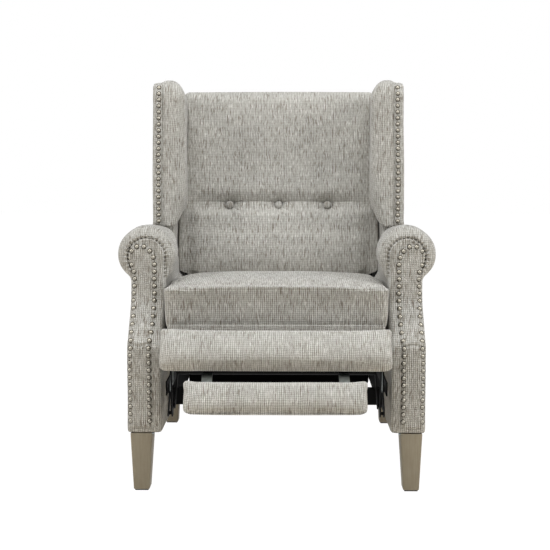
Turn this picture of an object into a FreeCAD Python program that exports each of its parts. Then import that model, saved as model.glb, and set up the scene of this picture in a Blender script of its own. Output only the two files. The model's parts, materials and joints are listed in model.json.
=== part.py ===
import FreeCAD, Part
import math
import os
from FreeCAD import Vector

# Pushback recliner: rolled arms, wings, a tufted back and a two-pad footrest on a bar linkage.
# Millimetres. X runs to the right as seen from the front, the front faces -Y and Z is up.
# Everything is laid out from the front of the arms (Y = 0) and the floor (Z = 0), and at the
# end the whole chair is moved so that its origin is the middle of its footprint.

# Arms
seat_gap = 540.0             # clear width between the arms
arm_width = 84.0             # thickness of an arm below its roll
arm_knee_rise = 214.0        # height of the upright lower part of the arm's front
arm_slope_rise = 95.0        # height of the part that leans back to the scroll
arm_slope_run = 65.0         # how far the scroll stands behind the knee
arm_height = 621.0           # top of the roll above the floor
arm_rear_low = 650.0         # depth of the arm along its lower edge
arm_rear_lean = 52.0         # how much further back the arm reaches at the shoulder
roll_radius = 62.0
roll_overhang = 9.0          # how far the roll stands over the seat from the arm's inner side
roll_wing_gap = 8.0          # from the roll's end to the wing's front
roll_overlap = 2.0           # how far the arm's outer side stands inside its widest line
facing_thickness = 3.0
facing_width = 44.0
facing_inset = 31.0          # from the arm's inner side to the facing
facing_scroll_radius = 33.0
facing_foot = 6.0            # bare arm under the facing
facing_throat = 12.0         # how far the scroll's round runs down into the straight part

# Legs
leg_height = 141.0
front_leg_top = 56.0
front_leg_bottom = 36.0
front_leg_setback = 2.0
rear_leg_top = 52.0
rear_leg_bottom = 36.0
rear_leg_rake = 42.0
rear_leg_setback = 8.0       # from the arm's rear edge to the leg
front_leg_toe = 2.0          # how far the foot's front edge stands behind the top's
leg_corner = 3.0
leg_centre_inset = 46.0      # from the arm's inner side to the middle of a leg
glide_size = 24.0
glide_thickness = 3.0
leg_plate_margin = 3.0       # from the leg's sides to its mounting plate

# Rails across the base
front_rail_setback = 190.0
front_rail_thickness = 20.0
front_rail_bottom = 163.0
front_rail_height = 42.0
rear_rail_thickness = 22.0
rear_rail_height = 121.0
rear_rail_inset = 16.0       # from the arm's rear edge to the rail

# Steel
plate = 3.0                  # thickness of every plate and bar
layer_gap = 1.6              # air between neighbouring bars
pin_radius = 4.0
pin_clearance = 0.05
bar_width = 18.0

# Seat carriage on four swing links
swing_length = 90.0
swing_lean = 16.0            # degrees behind upright at rest
swing_foot_height = 232.0
front_swing_setback = 150.0
rear_swing_inset = 80.0      # from the seat's rear end to the rear links' feet
swing_gap = 2.0              # air between a swing link and the base rail
seat_plate_gap = 3.0         # air between a swing link and the seat plate
hinge_gap = 2.5              # air between the two plates of a back hinge
swing_tube_radius = 8.0
base_rail_height = 34.0
base_rail_front = 70.0
base_rail_rear_gap = 42.0    # from the steel rail's end to the rear rail
swing_top_clearance = 0.35   # room round the rear links' upper pins
seat_plate_top = 388.0
seat_plate_depth = 43.0
seat_plate_front = 42.0
ear_half_tip = 10.0
ear_half_root = 24.0
ear_reach = 12.0             # below the pivot
ear_lean = 0.25              # how far back an ear's root stands for its height
seat_length = 500.0
seat_rail_width = 30.0
seat_rail_height = 36.0
seat_rail_front = 150.0
flange_front = 52.0
ledge_thickness = 11.7
ledge_front = 2.0
spring_wire = 3.5
spring_count = 5
spring_waves = 8
spring_amplitude = 22.0
spring_hook = 5.0            # from a rail's outer edge to a spring's end
seat_front_overhang = 5.0
cushion_thickness = 88.0
cushion_side_gap = 5.0       # air between the cushion and an arm
cushion_back_gap = 6.0       # air between the cushion and the foot of the back's face
cushion_crown = 12.0
cushion_corner = 26.0
cushion_foot_draw = 3.0      # how far the sides tuck in at the foot
cushion_side_draw = 1.0      # and at the shoulder
soft_gap = 0.3               # air between a soft solid and what it rests on

# Footrest. u runs down the pads' faces and n stands out of them, from the main pad's centre.
pad_tilt = 52.7              # degrees between the faces and the floor at rest
pad_centre_y = -90.0
pad_centre_z = 371.5
main_pad_length = 112.0
main_pad_side_gap = 8.0      # air between the main pad and an arm
main_pad_thickness = 35.0
main_pad_crown = 5.0
pad_edge_share = 0.6         # how much the face drops where the ends draw in
board_thickness = 10.0
board_margin = 8.0
board_side_margin = 36.0
lower_pad_drop = 128.0       # from the main pad's centre to the lower pad's
lower_pad_lift = 4.0
lower_pad_length = 74.0
lower_pad_half_width = 201.0
lower_pad_thickness = 21.0
lower_pad_crown = 3.0
lower_board_thickness = 8.0
strap_width = 24.0
strap_spacing = 310.0
bracket_flange = 26.0
eye_margin = 9.0             # plate beyond an eye's centre
bracket_foot_margin = 12.0   # flange beyond the eyes, along the pad
strap_top = -5.0             # along u, where the strap starts
strap_end_margin = 18.0      # from the lower pad's edge to the strap's end

# Footrest linkage: pivots in the side view, from the pad's centre (y, z)
drive_root = (144.7, -63.6)      # A: drive link on the seat plate
guide_root = (185.2, -2.5)       # B: guide link on the seat plate
elbow = (74.9, -176.6)           # E: drive link to front link
bracket_pivot = (51.8, -49.8)    # C: front link to footrest bracket
guide_tip = (86.4, -160.1)       # D: guide link to front link
stay_root = (92.1, -120.2)       # G: stay on the drive link
stay_tip = (68.4, -7.6)          # H: stay on the footrest bracket
guide_knee = 20.0                # how far the guide link bends back in the middle
guide_tip_clearance = 0.6
stay_knee = 18.0                 # how far the stay bends back in the middle
stay_slot_reach = 3.3
stay_slot_clearance = 0.9
stay_width = 20.0
cross_tube_radius = 10.0

# Back: t runs back through it and h runs up it, from its face at seat height
back_face_y = 531.0
back_face_z = 500.0
back_rake = 12.5             # degrees
back_top = 508.0             # along h
back_bottom = -185.0
back_cushion_foot = -78.0
back_cushion_depth = 72.0
back_crown = 14.0
lumbar_swell = 34.0          # how far the back stands out above the seat
lumbar_height = 58.0         # along h
post_depth = 60.0
post_width = 36.0
back_rail_height = 44.0
lumbar_rail_height = -40.0
back_panel_thickness = 12.0
back_pivot_y = 545.0
back_pivot_z = 440.0
hinge_pin_radius = 6.0
hinge_plate_size = 56.0
hinge_plate_corner = 12.0
hinge_eye_reach = 18.0       # from the hinge pin to the back plate's front edge
hinge_eye_half = 16.0        # half the back plate's height at its front edge
hinge_foot_half = 48.0       # and at its rear edge
hinge_rear_inset = 4.0
button_spacing = 142.0
button_height = 164.0        # along h
button_radius = 13.0
button_thickness = 8.0
button_sides = 12
tuft_depth = 20.0
tuft_band = 34.0             # how far above and below the buttons the pull dies out
seam_depth = 9.0
back_spring_count = 4
back_spring_depth = 12.0     # from the frame's front to the springs

# Wings
wing_front = 420.0
wing_top = 1007.0
wing_rear_drop = 14.0
wing_inset = 7.0             # from the arm's outer side to the wing's
wing_strip_width = 26.0      # of the nailed strip along the front edge
wing_strip_drop = 9.0        # how far the strip's top stands below the padding's
wing_strip_round = 7.0
wing_seam = 2.0              # run of the seam beside the strip
wing_pad_round = 30.0        # inner front corner of the padding
wing_crest_outer = 12.0      # round of the padding's top, next to the strip
wing_crest_inner = 36.0      # and on its inner side
wing_corner = 46.0           # round of the top's front corner in the side view
wing_crest_round = 20.0
wing_rear_round = 16.0
beyond = 900.0               # further than any piece reaches
shoulder_radius = 197.0      # arm's shoulder, about the back pivot
shoulder_gap = 7.0
wing_facing_width = 24.0

# Worked out from the sizes above
arm_inner = seat_gap / 2
arm_outer = arm_inner + arm_width
arm_bottom = leg_height
leg_top = leg_height - plate
knee_height = arm_bottom + arm_knee_rise
slope_height = knee_height + arm_slope_rise
roll_x = arm_inner + roll_radius - roll_overhang
roll_z = arm_height - roll_radius
back_side = arm_inner - plate * 2 - hinge_gap
wing_inner = back_side + soft_gap
leg_x = arm_inner + leg_centre_inset
base_rail_x = arm_inner - plate
swing_x = base_rail_x - swing_gap - plate
seat_plate_x = swing_x - seat_plate_gap - plate
layer_step = plate + layer_gap
drive_x = seat_plate_x - layer_step
stay_x = drive_x - layer_step
front_link_x = stay_x - layer_step
guide_x = front_link_x - layer_step
bracket_x = guide_x - layer_step
cushion_foot = seat_plate_top + ledge_thickness + soft_gap
pin_hole = pin_radius + pin_clearance
roll_end = wing_front - roll_wing_gap
wing_outer = arm_outer - wing_inset
cushion_half_width = arm_inner - cushion_side_gap
main_pad_half_width = arm_inner - main_pad_side_gap

shapes = {}


def keep(node, shape):
    shapes[node] = shape


def keep_pair(stem, right):
    """Keep a right-hand piece and its mirror image."""
    keep(stem + "_right", right)
    keep(stem + "_left", mirrored(right))


def mirrored(shape):
    return shape.mirror(Vector(0, 0, 0), Vector(1, 0, 0))


def both_sides(right):
    return Part.makeCompound([right, mirrored(right)])


def keep_both(node, right):
    """Keep a right-hand piece and its mirror image as two solids of one node."""
    keep(node, both_sides(right))


def in_yz(x):
    return lambda a, b: Vector(x, a, b)


def in_xz(y):
    return lambda a, b: Vector(a, y, b)


def in_xy(z):
    return lambda a, b: Vector(a, b, z)


def outline(corners, place):
    """Closed outline through (a, b) or (a, b, radius) corners, rounded by tangent arcs."""
    runs = []
    count = len(corners)
    for i in range(count):
        here = Vector(corners[i][0], corners[i][1], 0)
        radius = corners[i][2] if len(corners[i]) > 2 else 0.0
        if radius <= 0:
            runs.append((here, None, here))
            continue
        back = Vector(corners[i - 1][0], corners[i - 1][1], 0) - here
        on = Vector(corners[(i + 1) % count][0], corners[(i + 1) % count][1], 0) - here
        back.normalize()
        on.normalize()
        half = back.getAngle(on) / 2
        reach = radius / math.tan(half)
        middle = back + on
        middle.normalize()
        crest = here + middle * (radius / math.sin(half) - radius)
        runs.append((here + back * reach, crest, here + on * reach))
    edges = []
    for i in range(count):
        start, crest, end = runs[i]
        following = runs[(i + 1) % count][0]
        if crest is not None:
            arc = [place(v.x, v.y) for v in (start, crest, end)]
            edges.append(Part.Arc(*arc).toShape())
        if end.distanceToPoint(following) > 1e-6:
            edges.append(Part.makeLine(place(end.x, end.y), place(following.x, following.y)))
    return Part.Wire(edges)


def prism(wire, run):
    return Part.Face(wire).extrude(run)


def side_prism(corners, x0, x1):
    """A side-view outline carried from x0 to x1."""
    return prism(outline(corners, in_yz(x0)), Vector(x1 - x0, 0, 0))


def front_prism(corners, y0, y1):
    return prism(outline(corners, in_xz(y0)), Vector(0, y1 - y0, 0))


def plan_prism(corners, z0, z1):
    return prism(outline(corners, in_xy(z0)), Vector(0, 0, z1 - z0))


def block(x0, x1, y0, y1, z0, z1):
    return Part.makeBox(x1 - x0, y1 - y0, z1 - z0, Vector(x0, y0, z0))


def rod(centre, radius, x0, x1):
    """A round bar across the chair through a point of the side view."""
    return Part.makeCylinder(radius, x1 - x0, Vector(x0, centre[0], centre[1]), Vector(1, 0, 0))


def strip(points, width, x0, x1):
    """A flat bar along points of the side view, with round ends and mitred bends."""
    line = [Vector(a, b, 0) for a, b in points]
    ways = [(line[i + 1] - line[i]).normalize() for i in range(len(line) - 1)]
    sides = [Vector(-way.y, way.x, 0) for way in ways]
    offsets = [sides[0] * (width / 2)]
    for before, after in zip(sides, sides[1:]):
        mitre = (before + after).normalize()
        offsets.append(mitre * (width / 2 / mitre.dot(before)))
    offsets.append(sides[-1] * (width / 2))
    place = in_yz(x0)

    def spot(v):
        return place(v.x, v.y)

    left = [spot(v + offset) for v, offset in zip(line, offsets)]
    right = [spot(v - offset) for v, offset in zip(line, offsets)]
    start_tip = spot(line[0] - ways[0] * (width / 2))
    end_tip = spot(line[-1] + ways[-1] * (width / 2))
    edges = [Part.makeLine(a, b) for a, b in zip(left, left[1:])]
    edges.append(Part.Arc(left[-1], end_tip, right[-1]).toShape())
    edges += [Part.makeLine(b, a) for a, b in reversed(list(zip(right, right[1:])))]
    edges.append(Part.Arc(right[0], start_tip, left[0]).toShape())
    return prism(Part.Wire(edges), Vector(x1 - x0, 0, 0))


def bar(p, q, width, x0, x1):
    return strip((p, q), width, x0, x1)


def holed(shape, centres, radius, x0, x1):
    for centre in centres:
        shape = shape.cut(rod(centre, radius, x0 - 1, x1 + 1))
    return shape


def studded(shape, studs):
    """Rivet studs into a plate: each is a centre and the two ends of its shank."""
    for centre, x0, x1 in studs:
        shape = shape.fuse(rod(centre, pin_radius, x0, x1))
    return shape.removeSplitter()


def leg_solid(x, y_top, y_bottom, top, bottom, z0, z1):
    """A tapered square leg between two heights, with its four long edges eased."""
    rims = []
    for y, size, z in ((y_bottom, bottom, z0), (y_top, top, z1)):
        half = size / 2
        corners = ((-half, 0), (half, 0), (half, size), (-half, size))
        rims.append([Vector(x + a, y + b, z) for a, b in corners])
    faces = [rims[0][::-1], rims[1]]
    for i in range(4):
        j = (i + 1) % 4
        faces.append([rims[0][i], rims[0][j], rims[1][j], rims[1][i]])
    shell = Part.Shell([Part.Face(Part.makePolygon(rim + rim[:1])) for rim in faces])
    leg = Part.Solid(shell)
    long_edges = [edge for edge in leg.Edges if abs(edge.tangentAt(0).z) > 0.5]
    return leg.makeChamfer(leg_corner, long_edges)


# Back frame of reference
rake = math.radians(back_rake)


def on_back(shape):
    """Lean a piece that was drawn upright in (x, t, h) and set it at the back's face."""
    leaned = shape.copy()
    leaned.rotate(Vector(0, 0, 0), Vector(1, 0, 0), -back_rake)
    leaned.translate(Vector(0, back_face_y, back_face_z))
    return leaned


def back_point(t, h):
    """(y, z) of a point of the back's side view."""
    y = back_face_y + t * math.cos(rake) + h * math.sin(rake)
    z = back_face_z - t * math.sin(rake) + h * math.cos(rake)
    return y, z


# Footrest frame of reference
tilt = math.radians(pad_tilt)


def pad_point(u, n):
    """(y, z) of a point of the pads' side view."""
    y = pad_centre_y - u * math.cos(tilt) - n * math.sin(tilt)
    z = pad_centre_z - u * math.sin(tilt) + n * math.cos(tilt)
    return y, z


def at_pad(offset):
    return pad_centre_y + offset[0], pad_centre_z + offset[1]


def in_pad(x):
    return lambda u, n: Vector(x, *pad_point(u, n))


def pad_prism(corners, x0, x1):
    return prism(outline(corners, in_pad(x0)), Vector(x1 - x0, 0, 0))


pivot_a = at_pad(drive_root)
pivot_b = at_pad(guide_root)
pivot_c = at_pad(bracket_pivot)
pivot_d = at_pad(guide_tip)
pivot_e = at_pad(elbow)
pivot_g = at_pad(stay_root)
pivot_h = at_pad(stay_tip)
back_pivot = (back_pivot_y, back_pivot_z)
lean = math.radians(swing_lean)


def swing_points(foot_y):
    foot = (foot_y, swing_foot_height)
    head = (foot_y + swing_length * math.sin(lean), swing_foot_height + swing_length * math.cos(lean))
    return foot, head


front_foot, front_head = swing_points(front_swing_setback)
rear_foot, rear_head = swing_points(seat_length - rear_swing_inset)
rear_rail_y = arm_rear_low - rear_rail_inset - rear_rail_thickness
base_rail_end = rear_rail_y - base_rail_rear_gap
rear_leg_y = arm_rear_low - rear_leg_top - rear_leg_setback
cushion_depth = back_point(0, back_cushion_foot)[0] - cushion_back_gap + seat_front_overhang
front_foot_y = front_leg_setback + front_leg_toe
rear_foot_y = rear_leg_y + rear_leg_rake


# Arms, with the scroll in front and a round shoulder under the wing
def arm_front_outline():
    """Front view of the arm: straight inner side, roll above, outer side below it."""
    side = arm_outer - roll_overlap
    drop = math.sqrt(roll_radius ** 2 - (side - roll_x) ** 2)
    inner_drop = math.sqrt(roll_radius ** 2 - (roll_x - arm_inner) ** 2)
    slant = math.radians(40)
    low_arc = Part.Arc(
        Vector(side, 0, roll_z - drop),
        Vector(roll_x + roll_radius * math.cos(slant / 2), 0, roll_z + roll_radius * math.sin(slant / 2)),
        Vector(roll_x, 0, roll_z + roll_radius),
    )
    high_arc = Part.Arc(
        Vector(roll_x, 0, roll_z + roll_radius),
        Vector(roll_x - roll_radius, 0, roll_z),
        Vector(arm_inner, 0, roll_z - inner_drop),
    )
    return Part.Wire([
        Part.makeLine(Vector(arm_inner, 0, arm_bottom), Vector(arm_outer, 0, arm_bottom)),
        Part.makeLine(Vector(arm_outer, 0, arm_bottom), Vector(side, 0, roll_z - drop)),
        low_arc.toShape(),
        high_arc.toShape(),
        Part.makeLine(Vector(arm_inner, 0, roll_z - inner_drop), Vector(arm_inner, 0, arm_bottom)),
    ])


def front_profile(forward):
    """Side view of the arm's front, moved forward by the thickness of what covers it."""
    high = arm_height + 10
    return [
        (-forward, arm_bottom),
        (-forward, knee_height, 40.0),
        (arm_slope_run - forward, slope_height, 30.0),
        (arm_slope_run - forward, high),
        (roll_end, high),
        (roll_end, arm_bottom),
    ]


def make_arm():
    wide = arm_outer + roll_radius
    front = prism(arm_front_outline(), Vector(0, roll_end, 0))
    front = front.common(side_prism(front_profile(0), arm_inner - roll_radius, wide))
    rear_high = arm_rear_low + arm_rear_lean
    rear = side_prism(
        [
            (roll_end, arm_bottom),
            (arm_rear_low, arm_bottom),
            (rear_high, back_pivot_z + shoulder_radius),
            (roll_end, back_pivot_z + shoulder_radius),
        ],
        arm_inner,
        arm_outer,
    )
    shoulder = rod(back_pivot, shoulder_radius, arm_inner - 1, wide)
    skirt = block(arm_inner - 1, wide, roll_end - 1, rear_high + 1, arm_bottom - 1, back_pivot_z)
    rear = rear.common(shoulder.fuse(skirt))
    arm = front.fuse(rear).removeSplitter()
    return arm


def make_arm_facing():
    """The fabric-covered panel inside the nail line: scroll, neck and straight foot."""
    low_x = arm_inner + facing_inset
    high_x = low_x + facing_width
    neck = roll_z - facing_scroll_radius
    strip = front_prism(
        [
            (low_x, arm_bottom + facing_foot),
            (high_x, arm_bottom + facing_foot),
            (high_x, neck),
            (low_x, neck),
        ],
        -facing_thickness - 1,
        roll_end / 2,
    )
    scroll = Part.makeCylinder(
        facing_scroll_radius, roll_end / 2, Vector(roll_x, -facing_thickness - 1, roll_z), Vector(0, 1, 0)
    )
    throat = block(
        roll_x - facing_width / 2, roll_x + facing_width / 2,
        -facing_thickness - 1, roll_end / 2, neck - facing_throat, roll_z,
    )
    flat = strip.fuse(scroll).fuse(throat)
    skin = side_prism(front_profile(facing_thickness), arm_inner, arm_outer + roll_radius)
    skin = skin.cut(side_prism(front_profile(0), arm_inner - 1, arm_outer + roll_radius + 1))
    return flat.common(skin).removeSplitter()


keep_pair("arm", make_arm())
keep_both("arm_facings", make_arm_facing())


# Legs, their mounting plates and glides
def make_front_leg():
    return leg_solid(
        leg_x, front_leg_setback, front_foot_y, front_leg_top, front_leg_bottom, glide_thickness, leg_top
    )


def make_rear_leg():
    return leg_solid(
        leg_x, rear_leg_y, rear_foot_y, rear_leg_top, rear_leg_bottom, glide_thickness, leg_top
    )


def make_leg_plates():
    """Steel plate between each leg's top and the arm."""
    plates = []
    for y, size in ((front_leg_setback, front_leg_top), (rear_leg_y, rear_leg_top)):
        half = size / 2 - leg_plate_margin
        middle = y + size / 2
        plates.append(block(leg_x - half, leg_x + half, middle - half, middle + half, leg_top, leg_height))
    return both_sides(Part.makeCompound(plates))


front_glide_y = front_foot_y + front_leg_bottom / 2
rear_glide_y = rear_foot_y + rear_leg_bottom / 2


def make_leg_glides():
    half = glide_size / 2
    pads = []
    for y in (front_glide_y, rear_glide_y):
        pads.append(block(leg_x - half, leg_x + half, y - half, y + half, 0, glide_thickness))
    return both_sides(Part.makeCompound(pads))


keep_pair("front_leg", make_front_leg())
keep_pair("rear_leg", make_rear_leg())
keep("leg_plates", make_leg_plates())
keep("leg_glides", make_leg_glides())


# Rails that join the arms
keep("front_rail", block(
    -arm_inner, arm_inner,
    front_rail_setback, front_rail_setback + front_rail_thickness,
    front_rail_bottom, front_rail_bottom + front_rail_height,
))
keep("rear_rail", block(
    -arm_inner, arm_inner,
    rear_rail_y, rear_rail_y + rear_rail_thickness,
    arm_bottom, arm_bottom + rear_rail_height,
))


# Steel rails on the arms' inner sides, which carry the swing links
def make_base_rail():
    low = swing_foot_height - base_rail_height / 2
    rail = block(
        base_rail_x, arm_inner,
        base_rail_front, base_rail_end,
        low, low + base_rail_height,
    )
    return studded(rail, ((front_foot, swing_x, arm_inner), (rear_foot, swing_x, arm_inner)))


def clipped(flat):
    """A hinge plate with its four corners clipped."""
    corners = [edge for edge in flat.Edges if abs(edge.tangentAt(0).x) > 0.5]
    return flat.makeChamfer(hinge_plate_corner, corners)


def make_base_hinge():
    """Plate on the arm's inner side that holds the back's hinge pin."""
    half = hinge_plate_size / 2
    y, z = back_pivot
    flat = clipped(block(base_rail_x, arm_inner, y - half, y + half, z - half, z + half))
    return holed(flat, (back_pivot,), hinge_pin_radius + pin_clearance, base_rail_x, arm_inner)


def make_hinge_pins():
    shank = rod(back_pivot, hinge_pin_radius, back_side, arm_inner)
    return both_sides(shank)


keep_both("base_rails", make_base_rail())
keep_both("base_hinges", make_base_hinge())
keep("back_hinge_pins", make_hinge_pins())


# Swing links, each pair joined by a cross tube
def make_swing(foot, head, head_clearance):
    flat = bar(foot, head, bar_width, swing_x, swing_x + plate)
    flat = holed(flat, (foot,), pin_hole, swing_x, swing_x + plate)
    return holed(flat, (head,), pin_radius + head_clearance, swing_x, swing_x + plate)


keep_both("front_swing_links", make_swing(front_foot, front_head, pin_clearance))
keep_both("rear_swing_links", make_swing(rear_foot, rear_head, swing_top_clearance))


def make_swing_tube(foot, head):
    """Tube between the middles of a left and a right swing link."""
    middle = ((foot[0] + head[0]) / 2, (foot[1] + head[1]) / 2)
    return rod(middle, swing_tube_radius, -swing_x, swing_x)


keep("front_swing_tube", make_swing_tube(front_foot, front_head))
keep("rear_swing_tube", make_swing_tube(rear_foot, rear_head))


# Seat carriage
def seat_plate_ear(head):
    """Tapered ear that reaches down from the middle of the seat plate round a pivot."""
    y, z = head
    root_z = seat_plate_top - seat_plate_depth / 2
    root_y = y + (root_z - z) * ear_lean
    corners = [
        (root_y - ear_half_root, root_z),
        (y - ear_half_tip, z - ear_reach),
        (y + ear_half_tip, z - ear_reach),
        (root_y + ear_half_root, root_z),
    ]
    return side_prism(corners, seat_plate_x, seat_plate_x + plate)


def make_seat_plate():
    low = seat_plate_top - seat_plate_depth
    web = side_prism(
        [
            (seat_plate_front, low, 8.0),
            (seat_length, low, 8.0),
            (seat_length, seat_plate_top),
            (seat_plate_front, seat_plate_top),
        ],
        seat_plate_x,
        seat_plate_x + plate,
    )
    for head in (front_head, rear_head, pivot_a):
        web = web.fuse(seat_plate_ear(head))
    flange = block(
        seat_plate_x - seat_rail_width, seat_plate_x,
        flange_front, seat_length, seat_plate_top - plate, seat_plate_top,
    )
    outside = seat_plate_x + plate
    studs = (
        (front_head, seat_plate_x, swing_x + plate),
        (rear_head, seat_plate_x, swing_x + plate),
        (pivot_a, drive_x, outside),
        (pivot_b, guide_x, outside),
    )
    return studded(web.fuse(flange), studs)


rail_low = seat_plate_top - seat_rail_height
rail_inner = seat_plate_x - seat_rail_width


def make_seat_springs():
    """Flat zigzag springs from the front rail to the rear rail."""
    spacing = (2 * rail_inner - 2 * spring_amplitude) / spring_count
    spring_start = seat_rail_front + spring_hook
    spring_end = seat_length - spring_hook
    springs = []
    for i in range(spring_count):
        x = (i - (spring_count - 1) / 2) * spacing
        springs.append(zigzag(x, spring_start, spring_end, spring_waves, seat_plate_top))
    return Part.makeCompound(springs)


def zigzag(x, y0, y1, waves, z):
    """A ribbon of spring wire that swings from side to side along Y."""
    step = (y1 - y0) / waves
    near = []
    far = []
    for i in range(waves + 1):
        reach = spring_amplitude / 2 if i % 2 else -spring_amplitude / 2
        near.append((x + reach - spring_wire / 2, y0 + i * step))
        far.append((x + reach + spring_wire / 2, y0 + i * step))
    return plan_prism(near + far[::-1], z, z + spring_wire)


keep_pair("seat_plate", make_seat_plate())
keep_both("seat_side_rails", block(
    rail_inner, seat_plate_x,
    seat_rail_front, seat_length, rail_low - plate, seat_plate_top - plate,
))
keep("seat_front_rail", block(
    -rail_inner, rail_inner, seat_rail_front, seat_rail_front + seat_rail_width, rail_low, seat_plate_top,
))
keep("seat_rear_rail", block(
    -rail_inner, rail_inner, seat_length - seat_rail_width, seat_length, rail_low, seat_plate_top,
))
keep("seat_ledge", block(
    -seat_plate_x, seat_plate_x, ledge_front, seat_rail_front,
    seat_plate_top, seat_plate_top + ledge_thickness,
))
keep("seat_springs", make_seat_springs())
keep("seat_deck_pad", block(
    -rail_inner, rail_inner, seat_rail_front + soft_gap, seat_length,
    seat_plate_top + spring_wire + soft_gap, seat_plate_top + ledge_thickness,
))


# Seat cushion: crowned, with a soft front and sides drawn in between the corners
def cushion_slice(place, half, low, high, crown, corner):
    """One slice: flat underneath, nearly upright sides, round shoulders, crowned top."""
    foot = half - cushion_foot_draw
    side = half - cushion_side_draw
    middle = (low + high - corner) / 2
    turn = corner * (1 - math.cos(math.pi / 4))

    def arc(*points):
        return Part.Arc(*[place(a, b) for a, b in points]).toShape()

    return Part.Wire([
        Part.makeLine(place(-foot, low), place(foot, low)),
        arc((foot, low), (half, middle), (side, high - corner)),
        arc((side, high - corner), (side - turn, high - turn), (side - corner, high)),
        arc((side - corner, high), (0, high + crown), (corner - side, high)),
        arc((corner - side, high), (turn - side, high - turn), (-side, high - corner)),
        arc((-side, high - corner), (-half, middle), (-foot, low)),
    ])


def make_seat_cushion():
    top = cushion_foot + cushion_thickness
    # share of the depth, drawn in, lowered, raised foot, share of the crown
    slices = (
        (0.0, 14.0, 18.0, 12.0, 0.3),
        (0.006, 6.0, 9.0, 4.0, 0.4),
        (0.03, 0.0, 0.0, 0.0, 0.6),
        (0.25, 3.0, -2.0, 0.0, 1.0),
        (0.55, 5.0, -2.0, 0.0, 1.1),
        (0.97, 1.0, 3.0, 0.0, 0.6),
        (1.0, 8.0, 12.0, 6.0, 0.4),
    )
    wires = []
    for share, drawn, lowered, raised, crown in slices:
        y = share * cushion_depth - seat_front_overhang
        half = cushion_half_width - drawn
        wires.append(cushion_slice(
            in_xz(y), half, cushion_foot + raised, top - lowered, cushion_crown * crown, cushion_corner
        ))
    return Part.makeLoft(wires, True, True)


keep("seat_cushion", make_seat_cushion())


# Footrest pads on their boards
def pad_slice(x, length, thickness, crown, inset, u0, n0):
    """Section of a pad across the chair: flat back, soft edges, crowned face."""
    half = length / 2 - inset
    foot = half - cushion_foot_draw
    side = half - cushion_side_draw
    back = n0 - thickness
    face = n0 - inset * pad_edge_share
    edge = (face - back) * 0.35
    turn = edge * (1 - math.cos(math.pi / 4))
    place = in_pad(x)

    def arc(*points):
        return Part.Arc(*[place(u0 + a, b) for a, b in points]).toShape()

    return Part.Wire([
        Part.makeLine(place(u0 - foot, back), place(u0 + foot, back)),
        arc((foot, back), (half, back + edge), (side, face - edge)),
        arc((side, face - edge), (side - turn, face - turn), (side - edge, face)),
        arc((side - edge, face), (0, face + crown), (edge - side, face)),
        arc((edge - side, face), (turn - side, face - turn), (-side, face - edge)),
        arc((-side, face - edge), (-half, back + edge), (-foot, back)),
    ])


def make_pad(half_width, length, thickness, crown, u0, n0):
    # share of the half width, inset at that place, share of the crown
    slices = ((1.0, 9.0, 0.3), (0.975, 2.5, 0.7), (0.92, 0.0, 1.0))
    right = [(share * half_width, inset, part) for share, inset, part in slices]
    whole = right + [(-x, inset, part) for x, inset, part in right[::-1]]
    wires = [pad_slice(x, length, thickness, crown * part, inset, u0, n0) for x, inset, part in whole]
    return Part.makeLoft(wires, True, True)


def make_board(half_width, length, thickness, u0, n_front):
    half = length / 2 - board_margin
    corners = [(u0 - half, n_front - thickness), (u0 + half, n_front - thickness),
               (u0 + half, n_front), (u0 - half, n_front)]
    across = half_width - board_side_margin
    return pad_prism(corners, -across, across)


main_back = -main_pad_thickness - soft_gap
lower_back = lower_pad_lift - lower_pad_thickness - soft_gap
main_board_back = main_back - board_thickness
lower_board_back = lower_back - lower_board_thickness
lower_foot = lower_pad_drop + lower_pad_length / 2


def make_strap():
    """Flat steel strap from the main board's back down to the lower board's back."""
    leave = main_pad_length / 2 - board_margin
    arrive = lower_pad_drop - lower_pad_length / 2 + board_margin
    end = lower_foot - strap_end_margin
    front = [
        (strap_top, main_board_back),
        (leave, main_board_back),
        (arrive, lower_board_back),
        (end, lower_board_back),
    ]
    rear = [(u, n - plate) for u, n in front[::-1]]
    middle = strap_spacing / 2
    return pad_prism(front + rear, middle - strap_width / 2, middle + strap_width / 2)


def make_bracket():
    """Angle bracket on the main board's back, with the front link's and the stay's eyes."""
    c = to_pad(pivot_c)
    h = to_pad(pivot_h)
    foot_low = min(h[0], c[0]) - bracket_foot_margin
    foot_high = max(h[0], c[0]) + bracket_foot_margin
    web = pad_prism(
        [
            (foot_low, main_board_back),
            (h[0] - eye_margin, h[1]),
            (h[0] - eye_margin / 2, h[1] - eye_margin),
            (c[0] + eye_margin / 2, c[1] - eye_margin),
            (c[0] + eye_margin, c[1]),
            (foot_high, main_board_back),
        ],
        bracket_x,
        bracket_x + plate,
    )
    flange = pad_prism(
        [
            (foot_low, main_board_back - plate),
            (foot_high, main_board_back - plate),
            (foot_high, main_board_back),
            (foot_low, main_board_back),
        ],
        bracket_x - bracket_flange,
        bracket_x + plate,
    )
    web = holed(web.fuse(flange), (pivot_c,), pin_hole, bracket_x, bracket_x + plate)
    return studded(web, ((pivot_h, bracket_x, stay_x + plate),))


def to_pad(point):
    """(u, n) of a point of the side view."""
    y = point[0] - pad_centre_y
    z = point[1] - pad_centre_z
    u = -y * math.cos(tilt) - z * math.sin(tilt)
    n = -y * math.sin(tilt) + z * math.cos(tilt)
    return u, n


keep("main_pad", make_pad(main_pad_half_width, main_pad_length, main_pad_thickness, main_pad_crown, 0.0, 0.0))
keep("lower_pad", make_pad(
    lower_pad_half_width, lower_pad_length, lower_pad_thickness, lower_pad_crown, lower_pad_drop, lower_pad_lift
))
keep("main_pad_board", make_board(main_pad_half_width, main_pad_length, board_thickness, 0.0, main_back))
keep("lower_pad_board", make_board(
    lower_pad_half_width, lower_pad_length, lower_board_thickness, lower_pad_drop, lower_back
))
keep_both("pad_straps", make_strap())
keep_both("footrest_brackets", make_bracket())


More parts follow.
